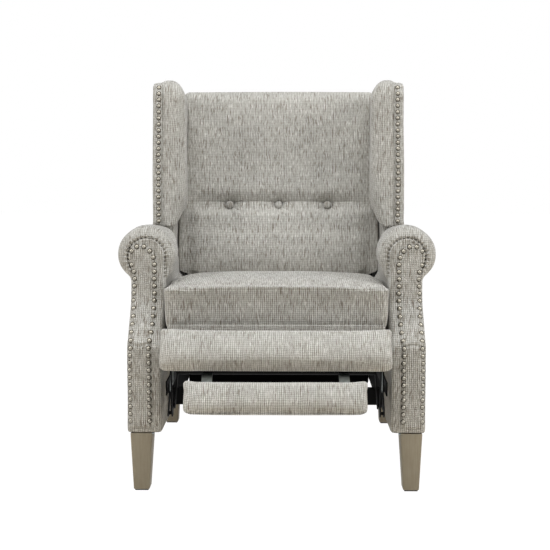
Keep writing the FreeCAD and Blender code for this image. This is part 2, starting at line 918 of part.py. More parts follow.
# Footrest linkage
def make_drive_link():
    flat = bar(pivot_a, pivot_e, bar_width, drive_x, drive_x + plate)
    ear = ((pivot_a[0] + pivot_e[0]) / 2, (pivot_a[1] + pivot_e[1]) / 2)
    flat = flat.fuse(bar(ear, pivot_g, bar_width, drive_x, drive_x + plate))
    flat = holed(flat, (pivot_a,), pin_hole, drive_x, drive_x + plate)
    return studded(flat, ((pivot_e, front_link_x, drive_x + plate), (pivot_g, stay_x, drive_x + plate)))


def make_front_link():
    flat = bar(pivot_e, pivot_c, bar_width, front_link_x, front_link_x + plate)
    flat = flat.fuse(bar(pivot_e, pivot_d, bar_width, front_link_x, front_link_x + plate))
    flat = holed(flat, (pivot_e,), pin_hole, front_link_x, front_link_x + plate)
    outside = front_link_x + plate
    return studded(flat, ((pivot_d, guide_x, outside), (pivot_c, bracket_x, outside)))


def bent_middle(top, foot, setback):
    """A link's bend, half way between its pivots and set back by the given distance."""
    run = Vector(foot[0] - top[0], foot[1] - top[1], 0)
    run.normalize()
    y = (top[0] + foot[0]) / 2 - run.y * setback
    z = (top[1] + foot[1]) / 2 + run.x * setback
    return y, z


knee_point = bent_middle(pivot_b, pivot_d, guide_knee)


def make_guide_link():
    x1 = guide_x + plate
    flat = strip((pivot_b, knee_point, pivot_d), bar_width, guide_x, x1)
    flat = holed(flat, (pivot_b,), pin_hole, guide_x, x1)
    return holed(flat, (pivot_d,), pin_radius + guide_tip_clearance, guide_x, x1)


def make_stay():
    """Stay with a slotted upper eye, where the loop is opened."""
    x1 = stay_x + plate
    bend = bent_middle(pivot_h, pivot_g, stay_knee)
    flat = strip((pivot_g, bend, pivot_h), stay_width, stay_x, x1)
    flat = holed(flat, (pivot_g,), pin_hole, stay_x, x1)
    run = Vector(pivot_h[0] - pivot_g[0], pivot_h[1] - pivot_g[1], 0)
    run.normalize()
    across = Vector(-run.y, run.x, 0) * stay_slot_reach
    low = (pivot_h[0] - across.x, pivot_h[1] - across.y)
    high = (pivot_h[0] + across.x, pivot_h[1] + across.y)
    slot = bar(low, high, 2 * (pin_radius + stay_slot_clearance), stay_x - 1, x1 + 1)
    return flat.cut(slot)


keep_pair("drive_link", make_drive_link())
keep_pair("front_link", make_front_link())
keep_pair("guide_link", make_guide_link())
keep_both("stays", make_stay())
keep("guide_cross_tube", rod(knee_point, cross_tube_radius, -guide_x, guide_x))


# Back frame
frame_front = back_cushion_depth + soft_gap
frame_rear = frame_front + post_depth
post_inner = back_side - post_width
panel_rear = frame_rear + back_panel_thickness


def back_block(x0, x1, t0, t1, h0, h1):
    return on_back(block(x0, x1, t0, t1, h0, h1))


keep_both("back_posts", back_block(
    post_inner, back_side, frame_front, frame_rear, back_bottom, back_top
))
for name, height, depth in (
    ("back_top_rail", back_top - back_rail_height, post_depth),
    ("back_lumbar_rail", lumbar_rail_height, post_depth / 2),
    ("back_bottom_rail", back_bottom, post_depth / 2),
):
    keep(name, back_block(
        -post_inner, post_inner, frame_front, frame_front + depth, height, height + back_rail_height
    ))


def make_back_springs():
    low = lumbar_rail_height + back_rail_height
    high = back_top - back_rail_height
    spacing = 2 * post_inner / (back_spring_count + 1)
    springs = []
    for i in range(back_spring_count):
        x = (i - (back_spring_count - 1) / 2) * spacing
        flat = zigzag(x, low + soft_gap, high - soft_gap, spring_waves, 0)
        flat.rotate(Vector(0, 0, 0), Vector(1, 0, 0), 90)
        flat.translate(Vector(0, frame_front + back_spring_depth, 0))
        springs.append(on_back(flat))
    return Part.makeCompound(springs)


keep("back_springs", make_back_springs())


def make_back_hinge():
    """Plate on the back post's outer side that turns on the hinge pin."""
    y, z = back_pivot
    pin_t = (y - back_face_y) * math.cos(rake) - (z - back_face_z) * math.sin(rake)
    pin_h = (y - back_face_y) * math.sin(rake) + (z - back_face_z) * math.cos(rake)
    front = pin_t - hinge_eye_reach
    rear = frame_rear - hinge_rear_inset
    corners = [
        back_point(front, pin_h - hinge_eye_half),
        back_point(rear, pin_h - hinge_foot_half),
        back_point(rear, pin_h + hinge_foot_half),
        back_point(front, pin_h + hinge_eye_half),
    ]
    flat = clipped(side_prism(corners, back_side, back_side + plate))
    return holed(flat, (back_pivot,), hinge_pin_radius + pin_clearance, back_side, back_side + plate)


keep_both("back_hinges", make_back_hinge())


# Back cushion: lumbar bulge, crowned face and three sewn tufts on a scalloped seam
def back_slice(h, half, front, rear, crown, tuft, scallop):
    """Slice across the back: flat rear, four arcs between the edges and the buttons."""
    knots = [-half, -button_spacing, 0.0, button_spacing, half]

    def swell(x):
        return -crown * (1 - (x / half) ** 2)

    def face(x, sunk):
        return front + swell(x) + sunk

    place = in_xy(h)
    points = [(x, face(x, tuft if abs(x) < half else 0.0)) for x in knots]
    edges = []
    for i in range(4):
        middle = (knots[i] + knots[i + 1]) / 2
        crest = (middle, face(middle, scallop))
        edges.append(Part.Arc(place(*points[i]), place(*crest), place(*points[i + 1])).toShape())
    edges.append(Part.makeLine(place(*points[4]), place(half, rear)))
    edges.append(Part.makeLine(place(half, rear), place(-half, rear)))
    edges.append(Part.makeLine(place(-half, rear), place(*points[0])))
    return Part.Wire(edges)


def make_back_cushion():
    depth = back_cushion_depth
    # height, drawn in, front, rear, crown, tuft, scallop
    slices = (
        (back_cushion_foot, 6.0, 24.0, depth - 12, 4.0, 0.0, 0.0),
        (-10.0, 0.5, -lumbar_swell * 0.2, depth, back_crown, 0.0, 0.0),
        (lumbar_height, 0.5, -lumbar_swell, depth, back_crown, 0.0, 0.0),
        (button_height - tuft_band, 0.5, -lumbar_swell * 0.4, depth, back_crown, 5.0, 1.0),
        (button_height, 0.5, 0.0, depth, back_crown, tuft_depth, seam_depth),
        (button_height + tuft_band, 0.5, 0.0, depth, back_crown, 3.0, 0.5),
        (back_top - 26, 0.5, 2.0, depth, back_crown * 0.8, 0.0, 0.0),
        (back_top - 7, 2.0, 10.0, depth - 1, back_crown * 0.5, 0.0, 0.0),
        (back_top, 8.0, 24.0, depth - 12, back_crown * 0.3, 0.0, 0.0),
    )
    wires = []
    for h, drawn, front, rear, crown, tuft, scallop in slices:
        wires.append(back_slice(h, back_side - drawn, front, rear, crown, tuft, scallop))
    cushion = Part.makeLoft(wires, True, True)
    for x, bottom in tuft_places():
        cushion = cushion.cut(tuft_pocket(x, bottom))
    return on_back(cushion)


def tuft_pocket(x, bottom):
    """Eight-sided well that clears a button, from its foot out past the cushion's face."""
    reach = (button_radius + soft_gap) / math.cos(math.pi / 8)
    return front_prism(ring(x, reach, 8), bottom - back_cushion_depth, bottom)


def ring(x, reach, sides):
    """Corners of an even polygon round the middle of a button, with a flat side upwards."""
    turns = [(2 * i + 1) * math.pi / sides for i in range(sides)]
    return [(x + reach * math.cos(turn), button_height + reach * math.sin(turn)) for turn in turns]


def tuft_places():
    """Each button's place across the back, and how deep its tuft is pulled."""
    places = []
    for side in (-1, 0, 1):
        x = side * button_spacing
        places.append((x, tuft_depth - back_crown * (1 - (x / back_side) ** 2)))
    return places


keep("back_cushion", make_back_cushion())


def make_buttons():
    """Covered buttons that sit in the three tufts."""
    buttons = []
    for x, bottom in tuft_places():
        rear = bottom - soft_gap
        buttons.append(on_back(front_prism(ring(x, button_radius, button_sides), rear - button_thickness, rear)))
    return Part.makeCompound(buttons)


keep("back_buttons", make_buttons())


# Wings: side panels from the front edge to the back's rear face, cut round over the arm
wing_cut = shoulder_radius + shoulder_gap


def behind_frame():
    """The space that the rear panel takes, where the wings stop."""
    return back_block(-beyond, beyond, frame_rear, frame_rear + beyond, -beyond, beyond)


def make_wing():
    rear_low = back_point(panel_rear, 0)
    rear_high = back_point(panel_rear, back_top)
    side = side_prism(
        [
            (wing_front, back_pivot_z),
            (wing_front, wing_top, wing_corner),
            (wing_front + wing_corner * 1.4, wing_top, wing_crest_round),
            (rear_high[0], rear_high[1] + wing_rear_drop, wing_rear_round),
            rear_low,
        ],
        wing_inner - 1,
        wing_outer + 1,
    )
    body = plan_prism(
        [
            (wing_outer, wing_front - 1),
            (wing_outer, beyond),
            (wing_inner, beyond),
            (wing_inner, wing_front - 1, wing_pad_round),
        ],
        back_pivot_z,
        wing_top,
    )
    strip_x = wing_outer - wing_strip_width
    strip_top = wing_top - wing_strip_drop
    crown = front_prism(
        [
            (wing_inner - 1, back_pivot_z),
            (wing_outer, back_pivot_z),
            (wing_outer, strip_top, wing_strip_round),
            (strip_x, strip_top),
            (strip_x - wing_seam, wing_top, wing_crest_outer),
            (wing_inner - 1, wing_top, wing_crest_inner),
        ],
        wing_front - 1,
        beyond,
    )
    wing = body.common(side).common(crown)
    wing = wing.cut(rod(back_pivot, wing_cut, wing_inner - 2, wing_outer + 2))
    return wing.cut(behind_frame())


def make_wing_facing():
    """Narrow covered strip up the wing's front edge."""
    low = back_pivot_z + math.sqrt(wing_cut ** 2 - (wing_front - back_pivot_y) ** 2)
    outer = wing_outer - 1
    return block(
        outer - wing_facing_width, outer,
        wing_front - facing_thickness, wing_front,
        low + facing_foot, wing_top - wing_corner,
    )


keep_pair("wing", make_wing())
keep_both("wing_facings", make_wing_facing())


def make_back_panel():
    """Covered panel over the rear: full width above the arms, narrow between them."""
    full = back_block(-wing_outer, wing_outer, frame_rear, panel_rear, back_bottom, back_top)
    for side in (-1, 1):
        near, far = sorted((side * back_side, side * (wing_outer + 2)))
        full = full.cut(rod(back_pivot, wing_cut, near, far))
        full = full.cut(block(near, far, back_pivot_y - back_cushion_depth, beyond, 0, back_pivot_z))
    return full


keep("back_panel", make_back_panel())


# Set the origin at the middle of the footprint and write one file per piece
low_y = min(shape.optimalBoundingBox().YMin for shape in shapes.values())
high_y = max(shape.optimalBoundingBox().YMax for shape in shapes.values())
shift = Vector(0, -(low_y + high_y) / 2, 0)

os.makedirs("parts", exist_ok=True)
for node, shape in shapes.items():
    shape.translate(shift)
    shape.exportStep("parts/" + node + ".step")

print("shift_y", round(shift.y, 4))
print("glide_y", round(front_glide_y + shift.y, 4))
pivots = (
    ("back_pivot", back_pivot), ("front_foot", front_foot), ("front_head", front_head),
    ("rear_foot", rear_foot), ("a", pivot_a), ("b", pivot_b), ("c", pivot_c), ("e", pivot_e),
    ("g", pivot_g),
)
for name, point in pivots:
    print("pivot", name, round(point[0] + shift.y, 4), round(point[1], 4))
for node, shape in shapes.items():
    box = shape.optimalBoundingBox()
    solids = len(shape.Solids)
    size = [round(v, 1) for v in (box.XMin, box.XMax, box.YMin, box.YMax, box.ZMin, box.ZMax)]
    print(node, solids, shape.isValid(), size, round(shape.Volume))
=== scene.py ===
"""Pushback recliner in a slubbed tweed: rolled arms, wings, a tufted back and a two-pad footrest.

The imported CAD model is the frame. The covers, cushions, legs and nail heads are modelled here and
ride on its bodies; the steelwork, springs, boards and rails are the CAD's own, with a finish.
Sizes are metres. The front of the chair faces -Y and Z is up.
"""

import json
import math

import bmesh
import bpy
import numpy as np
from mathutils import Matrix, Vector
from mathutils.bvhtree import BVHTree


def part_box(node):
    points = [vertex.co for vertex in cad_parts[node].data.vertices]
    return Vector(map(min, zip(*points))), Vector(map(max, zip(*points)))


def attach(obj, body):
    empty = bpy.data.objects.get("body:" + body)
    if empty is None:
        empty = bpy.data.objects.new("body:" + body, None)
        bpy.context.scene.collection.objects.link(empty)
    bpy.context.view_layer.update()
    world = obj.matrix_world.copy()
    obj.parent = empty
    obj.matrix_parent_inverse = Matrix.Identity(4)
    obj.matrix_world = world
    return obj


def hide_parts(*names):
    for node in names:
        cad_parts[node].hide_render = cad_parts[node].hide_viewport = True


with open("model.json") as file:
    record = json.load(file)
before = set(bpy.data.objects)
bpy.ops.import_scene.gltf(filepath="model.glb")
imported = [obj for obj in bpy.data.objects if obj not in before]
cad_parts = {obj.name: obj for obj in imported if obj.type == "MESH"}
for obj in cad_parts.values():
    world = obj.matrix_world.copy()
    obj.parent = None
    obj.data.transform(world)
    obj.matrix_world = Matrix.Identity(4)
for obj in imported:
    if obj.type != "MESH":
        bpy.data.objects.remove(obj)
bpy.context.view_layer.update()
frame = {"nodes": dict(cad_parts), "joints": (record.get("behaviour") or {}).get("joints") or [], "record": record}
nodes = frame["nodes"]
# each side's name and the sign of X on it
sides = (("right", 1), ("left", -1))

# The chair was laid out from the arms' front, so a length from there is turned into a place here
front_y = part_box("arm_right")[0].y


def behind_front(distance):
    return front_y + distance


# Materials

def colour(code):
    """sRGB hex to the linear colour that a socket takes."""
    parts = [int(code[i:i + 2], 16) / 255 for i in (1, 3, 5)]
    return [c / 12.92 if c <= 0.04045 else ((c + 0.055) / 1.055) ** 2.4 for c in parts] + [1.0]


def add_node(tree, kind, links=None, **settings):
    """A new shader node with its settings, its socket values and what is linked to it.

    A node as a value stands for its first output. Sockets go by name, or by number where names repeat: 6
    and 7 are a Mix node's colours and its output 2 their mix, 2 and 3 its plain values, and 1 to 4 a Map
    Range node's from and to.
    """
    node = tree.nodes.new("ShaderNode" + kind)
    for name, value in settings.items():
        setattr(node, name, value)
    for socket, value in (links or {}).items():
        if isinstance(value, bpy.types.Node):
            value = value.outputs[0]
        if isinstance(value, bpy.types.NodeSocket):
            tree.links.new(value, node.inputs[socket])
        else:
            node.inputs[socket].default_value = value
    return node


def new_material(name, **values):
    """A material whose shader has these plain values."""
    material = bpy.data.materials.new(name)
    material.use_nodes = True
    shader = material.node_tree.nodes["Principled BSDF"]
    for socket, value in values.items():
        shader.inputs[socket.replace("_", " ")].default_value = value
    return material, material.node_tree, shader


# The tweed's threads as width and length. The real yarns lie about 2.5 mm apart, which is too fine to show,
# so they are drawn coarser.
yarn_pitch = 0.0046
pick_pitch = 0.0048
slub_width, slub_length = 0.0026, 0.036
fleck_width, fleck_length = 0.0025, 0.017
# a Wave Texture of scale 1 repeats over this length
wave_run = math.pi / 10


def tweed(name, lean=0.0, painted_calm=1.0, painted_light=1.0):
    """Chenille tweed, woven: soft ribs across, slubbed yarns along, flecks of darker and paler wool.

    lean turns the pattern about X, so that it lies in the plane of a piece that leans. Below 1 the
    fading argument dims the slubs and flecks, and above 1 the paling argument makes the cloth paler: both are
    painted light, the look of cloth that lies open to the lamps.
    """
    material, tree, shader = new_material(
        name, Roughness=0.93, Sheen_Weight=0.5, Sheen_Roughness=0.4, Specular_IOR_Level=0.2)
    place = add_node(tree, "TexCoord")
    point = add_node(tree, "Mapping", {"Vector": place.outputs["Object"], "Rotation": (lean, 0, 0)})
    facing = add_node(tree, "Mapping", {
        "Vector": place.outputs["Normal"], "Rotation": (lean, 0, 0)}, vector_type="VECTOR")
    # each of three planes shows by the eighth power of the normal's part along it
    share = add_node(tree, "VectorMath", {0: facing}, operation="ABSOLUTE")
    for _ in range(3):
        share = add_node(tree, "VectorMath", {0: share, 1: share}, operation="MULTIPLY")
    whole = add_node(tree, "VectorMath", {0: share, 1: (1, 1, 1)}, operation="DOT_PRODUCT")
    part = add_node(tree, "Math", {0: 1.0, 1: whole.outputs["Value"]}, operation="DIVIDE")
    share = add_node(tree, "VectorMath", {0: share, "Scale": part}, operation="SCALE")
    shares = add_node(tree, "SeparateXYZ", {0: share})
    axes = add_node(tree, "SeparateXYZ", {0: point})
    total = None
    for face, across, along, seed in (("X", "Y", "Z", 3.0), ("Y", "X", "Z", 7.0), ("Z", "X", "Y", 11.0)):
        flat = add_node(tree, "CombineXYZ", {
            "X": axes.outputs[across], "Y": axes.outputs[along], "Z": seed})
        # weft picks, crossed by warp yarns
        pick = add_node(tree, "TexWave", {
            "Vector": flat, "Scale": wave_run / pick_pitch, "Distortion": 3.4, "Detail": 1.5,
            "Detail Scale": 0.9}, wave_type="BANDS", bands_direction="Y")
        yarn = add_node(tree, "TexWave", {
            "Vector": flat, "Scale": wave_run / yarn_pitch, "Distortion": 2.0, "Detail": 1.0,
            "Detail Scale": 0.5}, wave_type="BANDS", bands_direction="X")
        mixed = add_node(tree, "Mix", {
            0: 0.66, 2: pick.outputs["Fac"], 3: yarn.outputs["Fac"]}, data_type="FLOAT")
        # slubs, dark thick places along the warp
        slub_place = add_node(tree, "VectorMath", {
            0: flat, 1: (1 / slub_width, 1 / slub_length, 1.0)}, operation="MULTIPLY")
        slub = add_node(tree, "TexNoise", {
            "Vector": slub_place, "Scale": 1.0, "Detail": 2.0, "Roughness": 0.6})
        # flecks, paler and darker tufts
        fleck_place = add_node(tree, "VectorMath", {
            0: flat, 1: (1 / fleck_width, 1 / fleck_length, 1.7)}, operation="MULTIPLY")
        fleck = add_node(tree, "TexNoise", {
            "Vector": fleck_place, "Scale": 1.0, "Detail": 1.0, "Roughness": 0.5})
        three = add_node(tree, "CombineXYZ", {
            "X": mixed, "Y": slub.outputs["Fac"], "Z": fleck.outputs["Fac"]})
        three = add_node(tree, "VectorMath", {0: three, "Scale": shares.outputs[face]}, operation="SCALE")
        if total is not None:
            three = add_node(tree, "VectorMath", {0: total, 1: three}, operation="ADD")
        total = three
    threads = add_node(tree, "SeparateXYZ", {0: total})
    mixed = add_node(tree, "Mix", {
        0: threads.outputs["X"], 6: colour("#9f9b92"), 7: colour("#d9d8d3")}, data_type="RGBA")
    # dark slubs, pale flecks and brown flecks, each laid over what is there: its thread, the range in
    # which it comes in, how strong it is, and its colour
    layers = (
        ("Y", 0.54, 0.66, 0.9, "#796f62"),
        ("Z", 0.56, 0.70, 0.7, "#e9e7e2"),
        ("Z", 0.42, 0.30, 0.65, "#887e71"),
    )
    for thread, faint, full, strength, code in layers:
        # on the footrest each layer is weakened: painted light, the plainer look of cloth in full light
        amount = add_node(tree, "MapRange", {
            0: threads.outputs[thread], 1: faint, 2: full, 3: 0.0, 4: strength * painted_calm},
            interpolation_type="SMOOTHSTEP")
        mixed = add_node(tree, "Mix", {0: amount, 6: mixed.outputs[2], 7: colour(code)}, data_type="RGBA")
    cloud = add_node(tree, "TexNoise", {"Vector": point, "Scale": 14.0, "Detail": 2.0, "Roughness": 0.5})
    # on the footrest the whole range is lifted: painted light, the paler look of cloth in full light
    clouded = add_node(tree, "MapRange", {
        0: cloud.outputs["Fac"], 1: 0.3, 2: 0.7, 3: 0.93 * painted_light, 4: 1.05 * painted_light})
    toned = add_node(tree, "VectorMath", {0: mixed.outputs[2], "Scale": clouded}, operation="SCALE")
    tree.links.new(toned.outputs[0], shader.inputs["Base Color"])
    raised = add_node(tree, "Math", {0: threads.outputs["Y"], 1: 0.8, 2: threads.outputs["X"]},
                      operation="MULTIPLY_ADD")
    bump = add_node(tree, "Bump", {"Height": raised, "Strength": 0.7, "Distance": 0.0018})
    tree.links.new(bump.outputs[0], shader.inputs["Normal"])
    return material


def grained(name, pale, deep, grain, along=(1.0, 1.0, 0.06), Roughness=0.55, bump_depth=0.0003, **values):
    """Wood with its grain along the axis whose scale is smallest; grain is the width of a streak."""
    material, tree, shader = new_material(name, Roughness=Roughness, **values)
    place = add_node(tree, "TexCoord")
    long = add_node(tree, "Mapping", {"Vector": place.outputs["Object"], "Scale": along})
    streak = add_node(tree, "TexNoise", {
        "Vector": long, "Scale": 1 / grain, "Detail": 5.0, "Roughness": 0.62, "Distortion": 0.5})
    wash = add_node(tree, "TexNoise", {
        "Vector": place.outputs["Object"], "Scale": 28.0, "Detail": 3.0, "Roughness": 0.6})
    blend = add_node(tree, "Math", {0: wash.outputs["Fac"], 1: 0.45, 2: streak.outputs["Fac"]},
                     operation="MULTIPLY_ADD")
    spread = add_node(tree, "MapRange", {0: blend, 1: 0.5, 2: 0.95, 3: 0.0, 4: 1.0})
    mix = add_node(tree, "Mix", {0: spread, 6: colour(deep), 7: colour(pale)}, data_type="RGBA")
    tree.links.new(mix.outputs[2], shader.inputs["Base Color"])
    bump = add_node(tree, "Bump", {
        "Height": streak.outputs["Fac"], "Strength": 0.5, "Distance": bump_depth})
    tree.links.new(bump.outputs[0], shader.inputs["Normal"])
    return material


def mottled(name, pale, deep, size, rough_low, rough_high, bump_depth=0.0001, **values):
    """A finish whose colour and gloss vary in patches of this size: plate, powder coat, felt or nylon."""
    material, tree, shader = new_material(name, **values)
    place = add_node(tree, "TexCoord")
    patch = add_node(tree, "TexNoise", {
        "Vector": place.outputs["Object"], "Scale": 1 / size, "Detail": 4.0, "Roughness": 0.6})
    mix = add_node(tree, "Mix", {
        0: patch.outputs["Fac"], 6: colour(deep), 7: colour(pale)}, data_type="RGBA")
    tree.links.new(mix.outputs[2], shader.inputs["Base Color"])
    gloss = add_node(tree, "MapRange", {
        0: patch.outputs["Fac"], 1: 0.3, 2: 0.7, 3: rough_low, 4: rough_high})
    tree.links.new(gloss.outputs[0], shader.inputs["Roughness"])
    fine = add_node(tree, "TexNoise", {
        "Vector": place.outputs["Object"], "Scale": 4 / size, "Detail": 2.0, "Roughness": 0.6})
    bump = add_node(tree, "Bump", {
        "Height": fine.outputs["Fac"], "Strength": 0.4, "Distance": bump_depth})
    tree.links.new(bump.outputs[0], shader.inputs["Normal"])
    return material


back_rake = math.radians(12.5)
# degrees between the footrest pads' faces and the floor
pad_tilt = 52.7
# Chenille and wool, woven: matt, with soft ribs and a pale bloom where the cloth turns away
upholstery = tweed("slubbed tweed")
back_upholstery = tweed("slubbed tweed on the back", lean=back_rake)
# the pads' cloth lies open to the light, so this copy of the tweed has that light painted in: paler and plainer
pad_tweed_painted_lit = tweed(
    "slubbed tweed on the footrest, painted lit", lean=math.radians(90 - pad_tilt), painted_calm=0.78, painted_light=1.10)
# Nickel, stamped and antiqued: warm bright domes, each on a wider rim whose dark colour is painted shade
nail_nickel = mottled("antique nickel, stamped", "#b4afa3", "#7a756a", 0.003, 0.20, 0.38, Metallic=1.0)
nail_rim_painted_shade = mottled("nickel rim, painted shade", "#5a554b", "#37332c", 0.003, 0.35, 0.5, Metallic=1.0)
# Rubberwood, grey wash under a matt lacquer: even greige with a faint grain
leg_wood = grained("rubberwood, grey wash", "#9d9480", "#918672", 0.0035)
# Planed poplar and sawn plywood, both bare: pale yellow streaks, no gloss
frame_wood = grained("poplar, planed", "#c9b48e", "#a98d62", 0.004, along=(0.06, 1.0, 1.0), Roughness=0.75)
plywood = grained("birch plywood, sawn", "#d8c39b", "#b39468", 0.003, along=(0.05, 1.0, 1.0), Roughness=0.8)
# Steel, black powder coat: near black, with a satin sheen on its edges
black_steel = mottled("steel, black powder coat", "#0b0b0a", "#050505", 0.004, 0.5, 0.66,
                      Specular_IOR_Level=0.10)
# Steel, zinc plate: cool grey with a patchy shine
zinc_steel = mottled("steel, zinc plate", "#a9adab", "#6f7674", 0.006, 0.28, 0.48, Metallic=1.0)
# Spring wire, oil tempered: brown black with a dull shine
spring_steel = mottled("spring wire, oil tempered", "#5d5a55", "#2f2d2a", 0.008, 0.35, 0.5, Metallic=1.0)
# Felt, needled: dark and fully matt
deck_felt = mottled("needled felt, charcoal", "#4a4947", "#2c2b2a", 0.004, 0.9, 1.0, bump_depth=0.0008)
# Nylon, moulded: dark grey with a soft gloss
glide_nylon = mottled("nylon, moulded", "#3a3835", "#2a2826", 0.005, 0.45, 0.6)
# Cambric, spunbonded: black and fully matt. It is a dust cover under the arms, and elsewhere painted shade on
# sides that lie in shadow
lining_and_painted_shade = mottled("black cambric, partly painted shade", "#0a0a0a", "#050505", 0.0025, 0.85, 0.98,
                 bump_depth=0.0003, Specular_IOR_Level=0.05)

finishes = {
    "tweed": upholstery,
    "tweed_over_wood": upholstery,
    "washed_wood": leg_wood,
    "frame_wood": frame_wood,
    "plywood": plywood,
    "black_steel": black_steel,
    "zinc_steel": zinc_steel,
    "spring_steel": spring_steel,
    "deck_felt": deck_felt,
    "glide_plastic": glide_nylon,
}


def coat(node, material):
    """The solid takes this material alone."""
    mesh = nodes[node].data
    mesh.materials.clear()
    mesh.materials.append(material)


for part in frame["record"]["subparts"]:
    coat(part["node"], finishes[part["material_slot"]])


# Making and shaping pieces

def new_piece(name, bm, material):
    """An object of this name with the bmesh as its mesh, smooth shaded."""
    mesh = bpy.data.meshes.new(name)
    bm.to_mesh(mesh)
    bm.free()
    piece = bpy.data.objects.new(name, mesh)
    bpy.context.scene.collection.objects.link(piece)
    mesh.materials.append(material)
    mesh.shade_smooth()
    return piece


def dressed(piece, body, slot, *stands_for):
    """The piece rides on its body and stands for these nodes, which are hidden. slot is not used."""
    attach(piece, body)
    if stands_for:
        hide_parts(*stands_for)
    return piece


def settled(piece):
    """The piece with its modifiers worked into its mesh."""
    seen = piece.evaluated_get(bpy.context.evaluated_depsgraph_get())
    mesh = bpy.data.meshes.new_from_object(seen)
    piece.modifiers.clear()
    piece.data = mesh
    return piece


def points_of(piece, field="co"):
    """One row for each point of the mesh: its place, or another of its fields."""
    rows = np.empty(len(piece.data.vertices) * 3, np.float32)
    piece.data.vertices.foreach_get(field, rows)
    return rows.reshape(-1, 3).astype(float)


def normals_of(piece):
    return points_of(piece, "normal")


def put(piece, places):
    piece.data.vertices.foreach_set("co", places.astype(np.float32).ravel())
    piece.data.update()
    return piece


def softened(piece, times, share=None):
    """Rounds the edges by smoothing; share is how much of it each point takes."""
    smooth = piece.modifiers.new("soft", "SMOOTH")
    smooth.factor = 0.5
    smooth.iterations = times
    if share is not None:
        group = piece.vertex_groups.new(name="soft")
        steps = np.clip(np.round(share * 20), 0, 20).astype(int)
        for step in range(1, 21):
            group.add([int(i) for i in np.nonzero(steps == step)[0]], step / 20, "REPLACE")
        smooth.vertex_group = "soft"
    settled(piece)
    piece.vertex_groups.clear()
    return piece


def cover_of(node, name, material, voxel, times):
    """A cover in the node's shape, merged to one mesh of even quads of this size and softened."""
    bm = bmesh.new()
    bm.from_mesh(nodes[node].data)
    bmesh.ops.remove_doubles(bm, verts=bm.verts, dist=0.00002)
    cover = new_piece(name, bm, material)
    remesh = cover.modifiers.new("even", "REMESH")
    remesh.mode = "VOXEL"
    remesh.voxel_size = voxel
    remesh.use_smooth_shade = True
    return softened(settled(cover), times)


def subdivided(piece):
    """Each face made four, on a smooth surface."""
    finer = piece.modifiers.new("finer", "SUBSURF")
    finer.levels = 1
    finer.render_levels = 1
    return settled(piece)


def ease(value, low, high):
    """0 at low, 1 at high, smooth between."""
    t = np.clip((value - low) / (high - low), 0, 1)
    return t * t * (3 - 2 * t)


golden_angle = math.pi * (3 - math.sqrt(5))


def unevenness(places, size, seed):
    """A gentle, repeatable swell between -1 and 1 over lengths of about this size."""
    total = np.zeros(len(places))
    for k in range(6):
        turn = seed * 1.7 + k * golden_angle
        rise = math.sin(seed + k * 1.31)
        flat = math.sqrt(max(0.0, 1 - rise * rise))
        direction = np.array([math.cos(turn) * flat, math.sin(turn) * flat, rise])
        total += np.sin(places @ direction * (2 * math.pi / size) * (0.7 + 0.13 * k) + seed * 3 + k)
    return total / 6


def refined(piece, near, rounds=1):
    """Splits the faces where near(places) holds, for seams and gathers finer than the rest."""
    for _ in range(rounds):
        chosen = near(points_of(piece))
        bm = bmesh.new()
        bm.from_mesh(piece.data)
        edges = [edge for edge in bm.edges if chosen[edge.verts[0].index] and chosen[edge.verts[1].index]]
        bmesh.ops.subdivide_edges(bm, edges=edges, cuts=1, use_grid_fill=True)
        bm.to_mesh(piece.data)
        bm.free()
        piece.data.update()
    return piece


def drawn_to(piece, axis, low, high):
    """Stretches the piece along the axis until it runs from low to high."""
    places = points_of(piece)
    along = places @ axis
    share = (along - along.min()) / (along.max() - along.min())
    return put(piece, places + np.outer(low + share * (high - low) - along, axis))


def squared(first, second, reach):
    """Fills out a rounded corner: both run from 0, where the round begins, to reach at the corner."""
    a, b = np.clip(first / reach, 0, None), np.clip(second / reach, 0, None)
    grown = np.hypot(a, b) / np.maximum((a ** 5 + b ** 5) ** 0.2, 1e-9)
    grown = np.where((a > 0) & (b > 0), grown, 1.0)
    return np.maximum(first, 0) * (grown - 1), np.maximum(second, 0) * (grown - 1)


def lined_black_as_shade(piece, inside):
    """The faces for which inside(centre, normal) holds are black cambric, as painted shade on sides in shadow."""
    piece.data.materials.append(lining_and_painted_shade)
    for face in piece.data.polygons:
        face.material_index = 1 if inside(face.center, face.normal) else 0
    return piece


def plumped(piece, pressure, cap, share):
    """Cloth filled with air: the cover swells, each point by at most cap times its share."""
    start = points_of(piece)
    cloth = piece.modifiers.new("filling", "CLOTH")
    cloth.settings.quality = 5
    cloth.settings.mass = 0.3
    cloth.settings.use_pressure = True
    cloth.settings.uniform_pressure_force = pressure
    cloth.settings.effector_weights.gravity = 0.0
    scene = bpy.context.scene
    for number in range(1, 21):
        scene.frame_set(number)
    settled(piece)
    scene.frame_set(1)
    moved = points_of(piece) - start
    length = np.linalg.norm(moved, axis=1, keepdims=True)
    moved *= np.minimum(1.0, cap / np.maximum(length, 1e-9))
    return put(piece, start + moved * share[:, None])


def tree_of(piece):
    """A search tree of the mesh's faces, to find where a line meets it."""
    bm = bmesh.new()
    bm.from_mesh(piece.data)
    tree = BVHTree.FromBMesh(bm)
    bm.free()
    return tree


def smooth_path(corners, pitch):
    """Points at this spacing along a smooth line through the corners."""
    corners = np.array(corners, float)
    dense = []
    count = len(corners)
    for i in range(count - 1):
        before, start = corners[max(i - 1, 0)], corners[i]
        end, after = corners[i + 1], corners[min(i + 2, count - 1)]
        for t in np.linspace(0, 1, 24, endpoint=False):
            dense.append(0.5 * (
                2 * start + (end - before) * t + (2 * before - 5 * start + 4 * end - after) * t ** 2
                + (3 * start - before - 3 * end + after) * t ** 3))
    dense.append(corners[-1])
    dense = np.array(dense)
    run = np.concatenate([[0], np.cumsum(np.linalg.norm(np.diff(dense, axis=0), axis=1))])
    steps = np.linspace(0, run[-1], max(2, int(round(run[-1] / pitch)) + 1))
    return np.stack([np.interp(steps, run, dense[:, k]) for k in range(dense.shape[1])], axis=1)


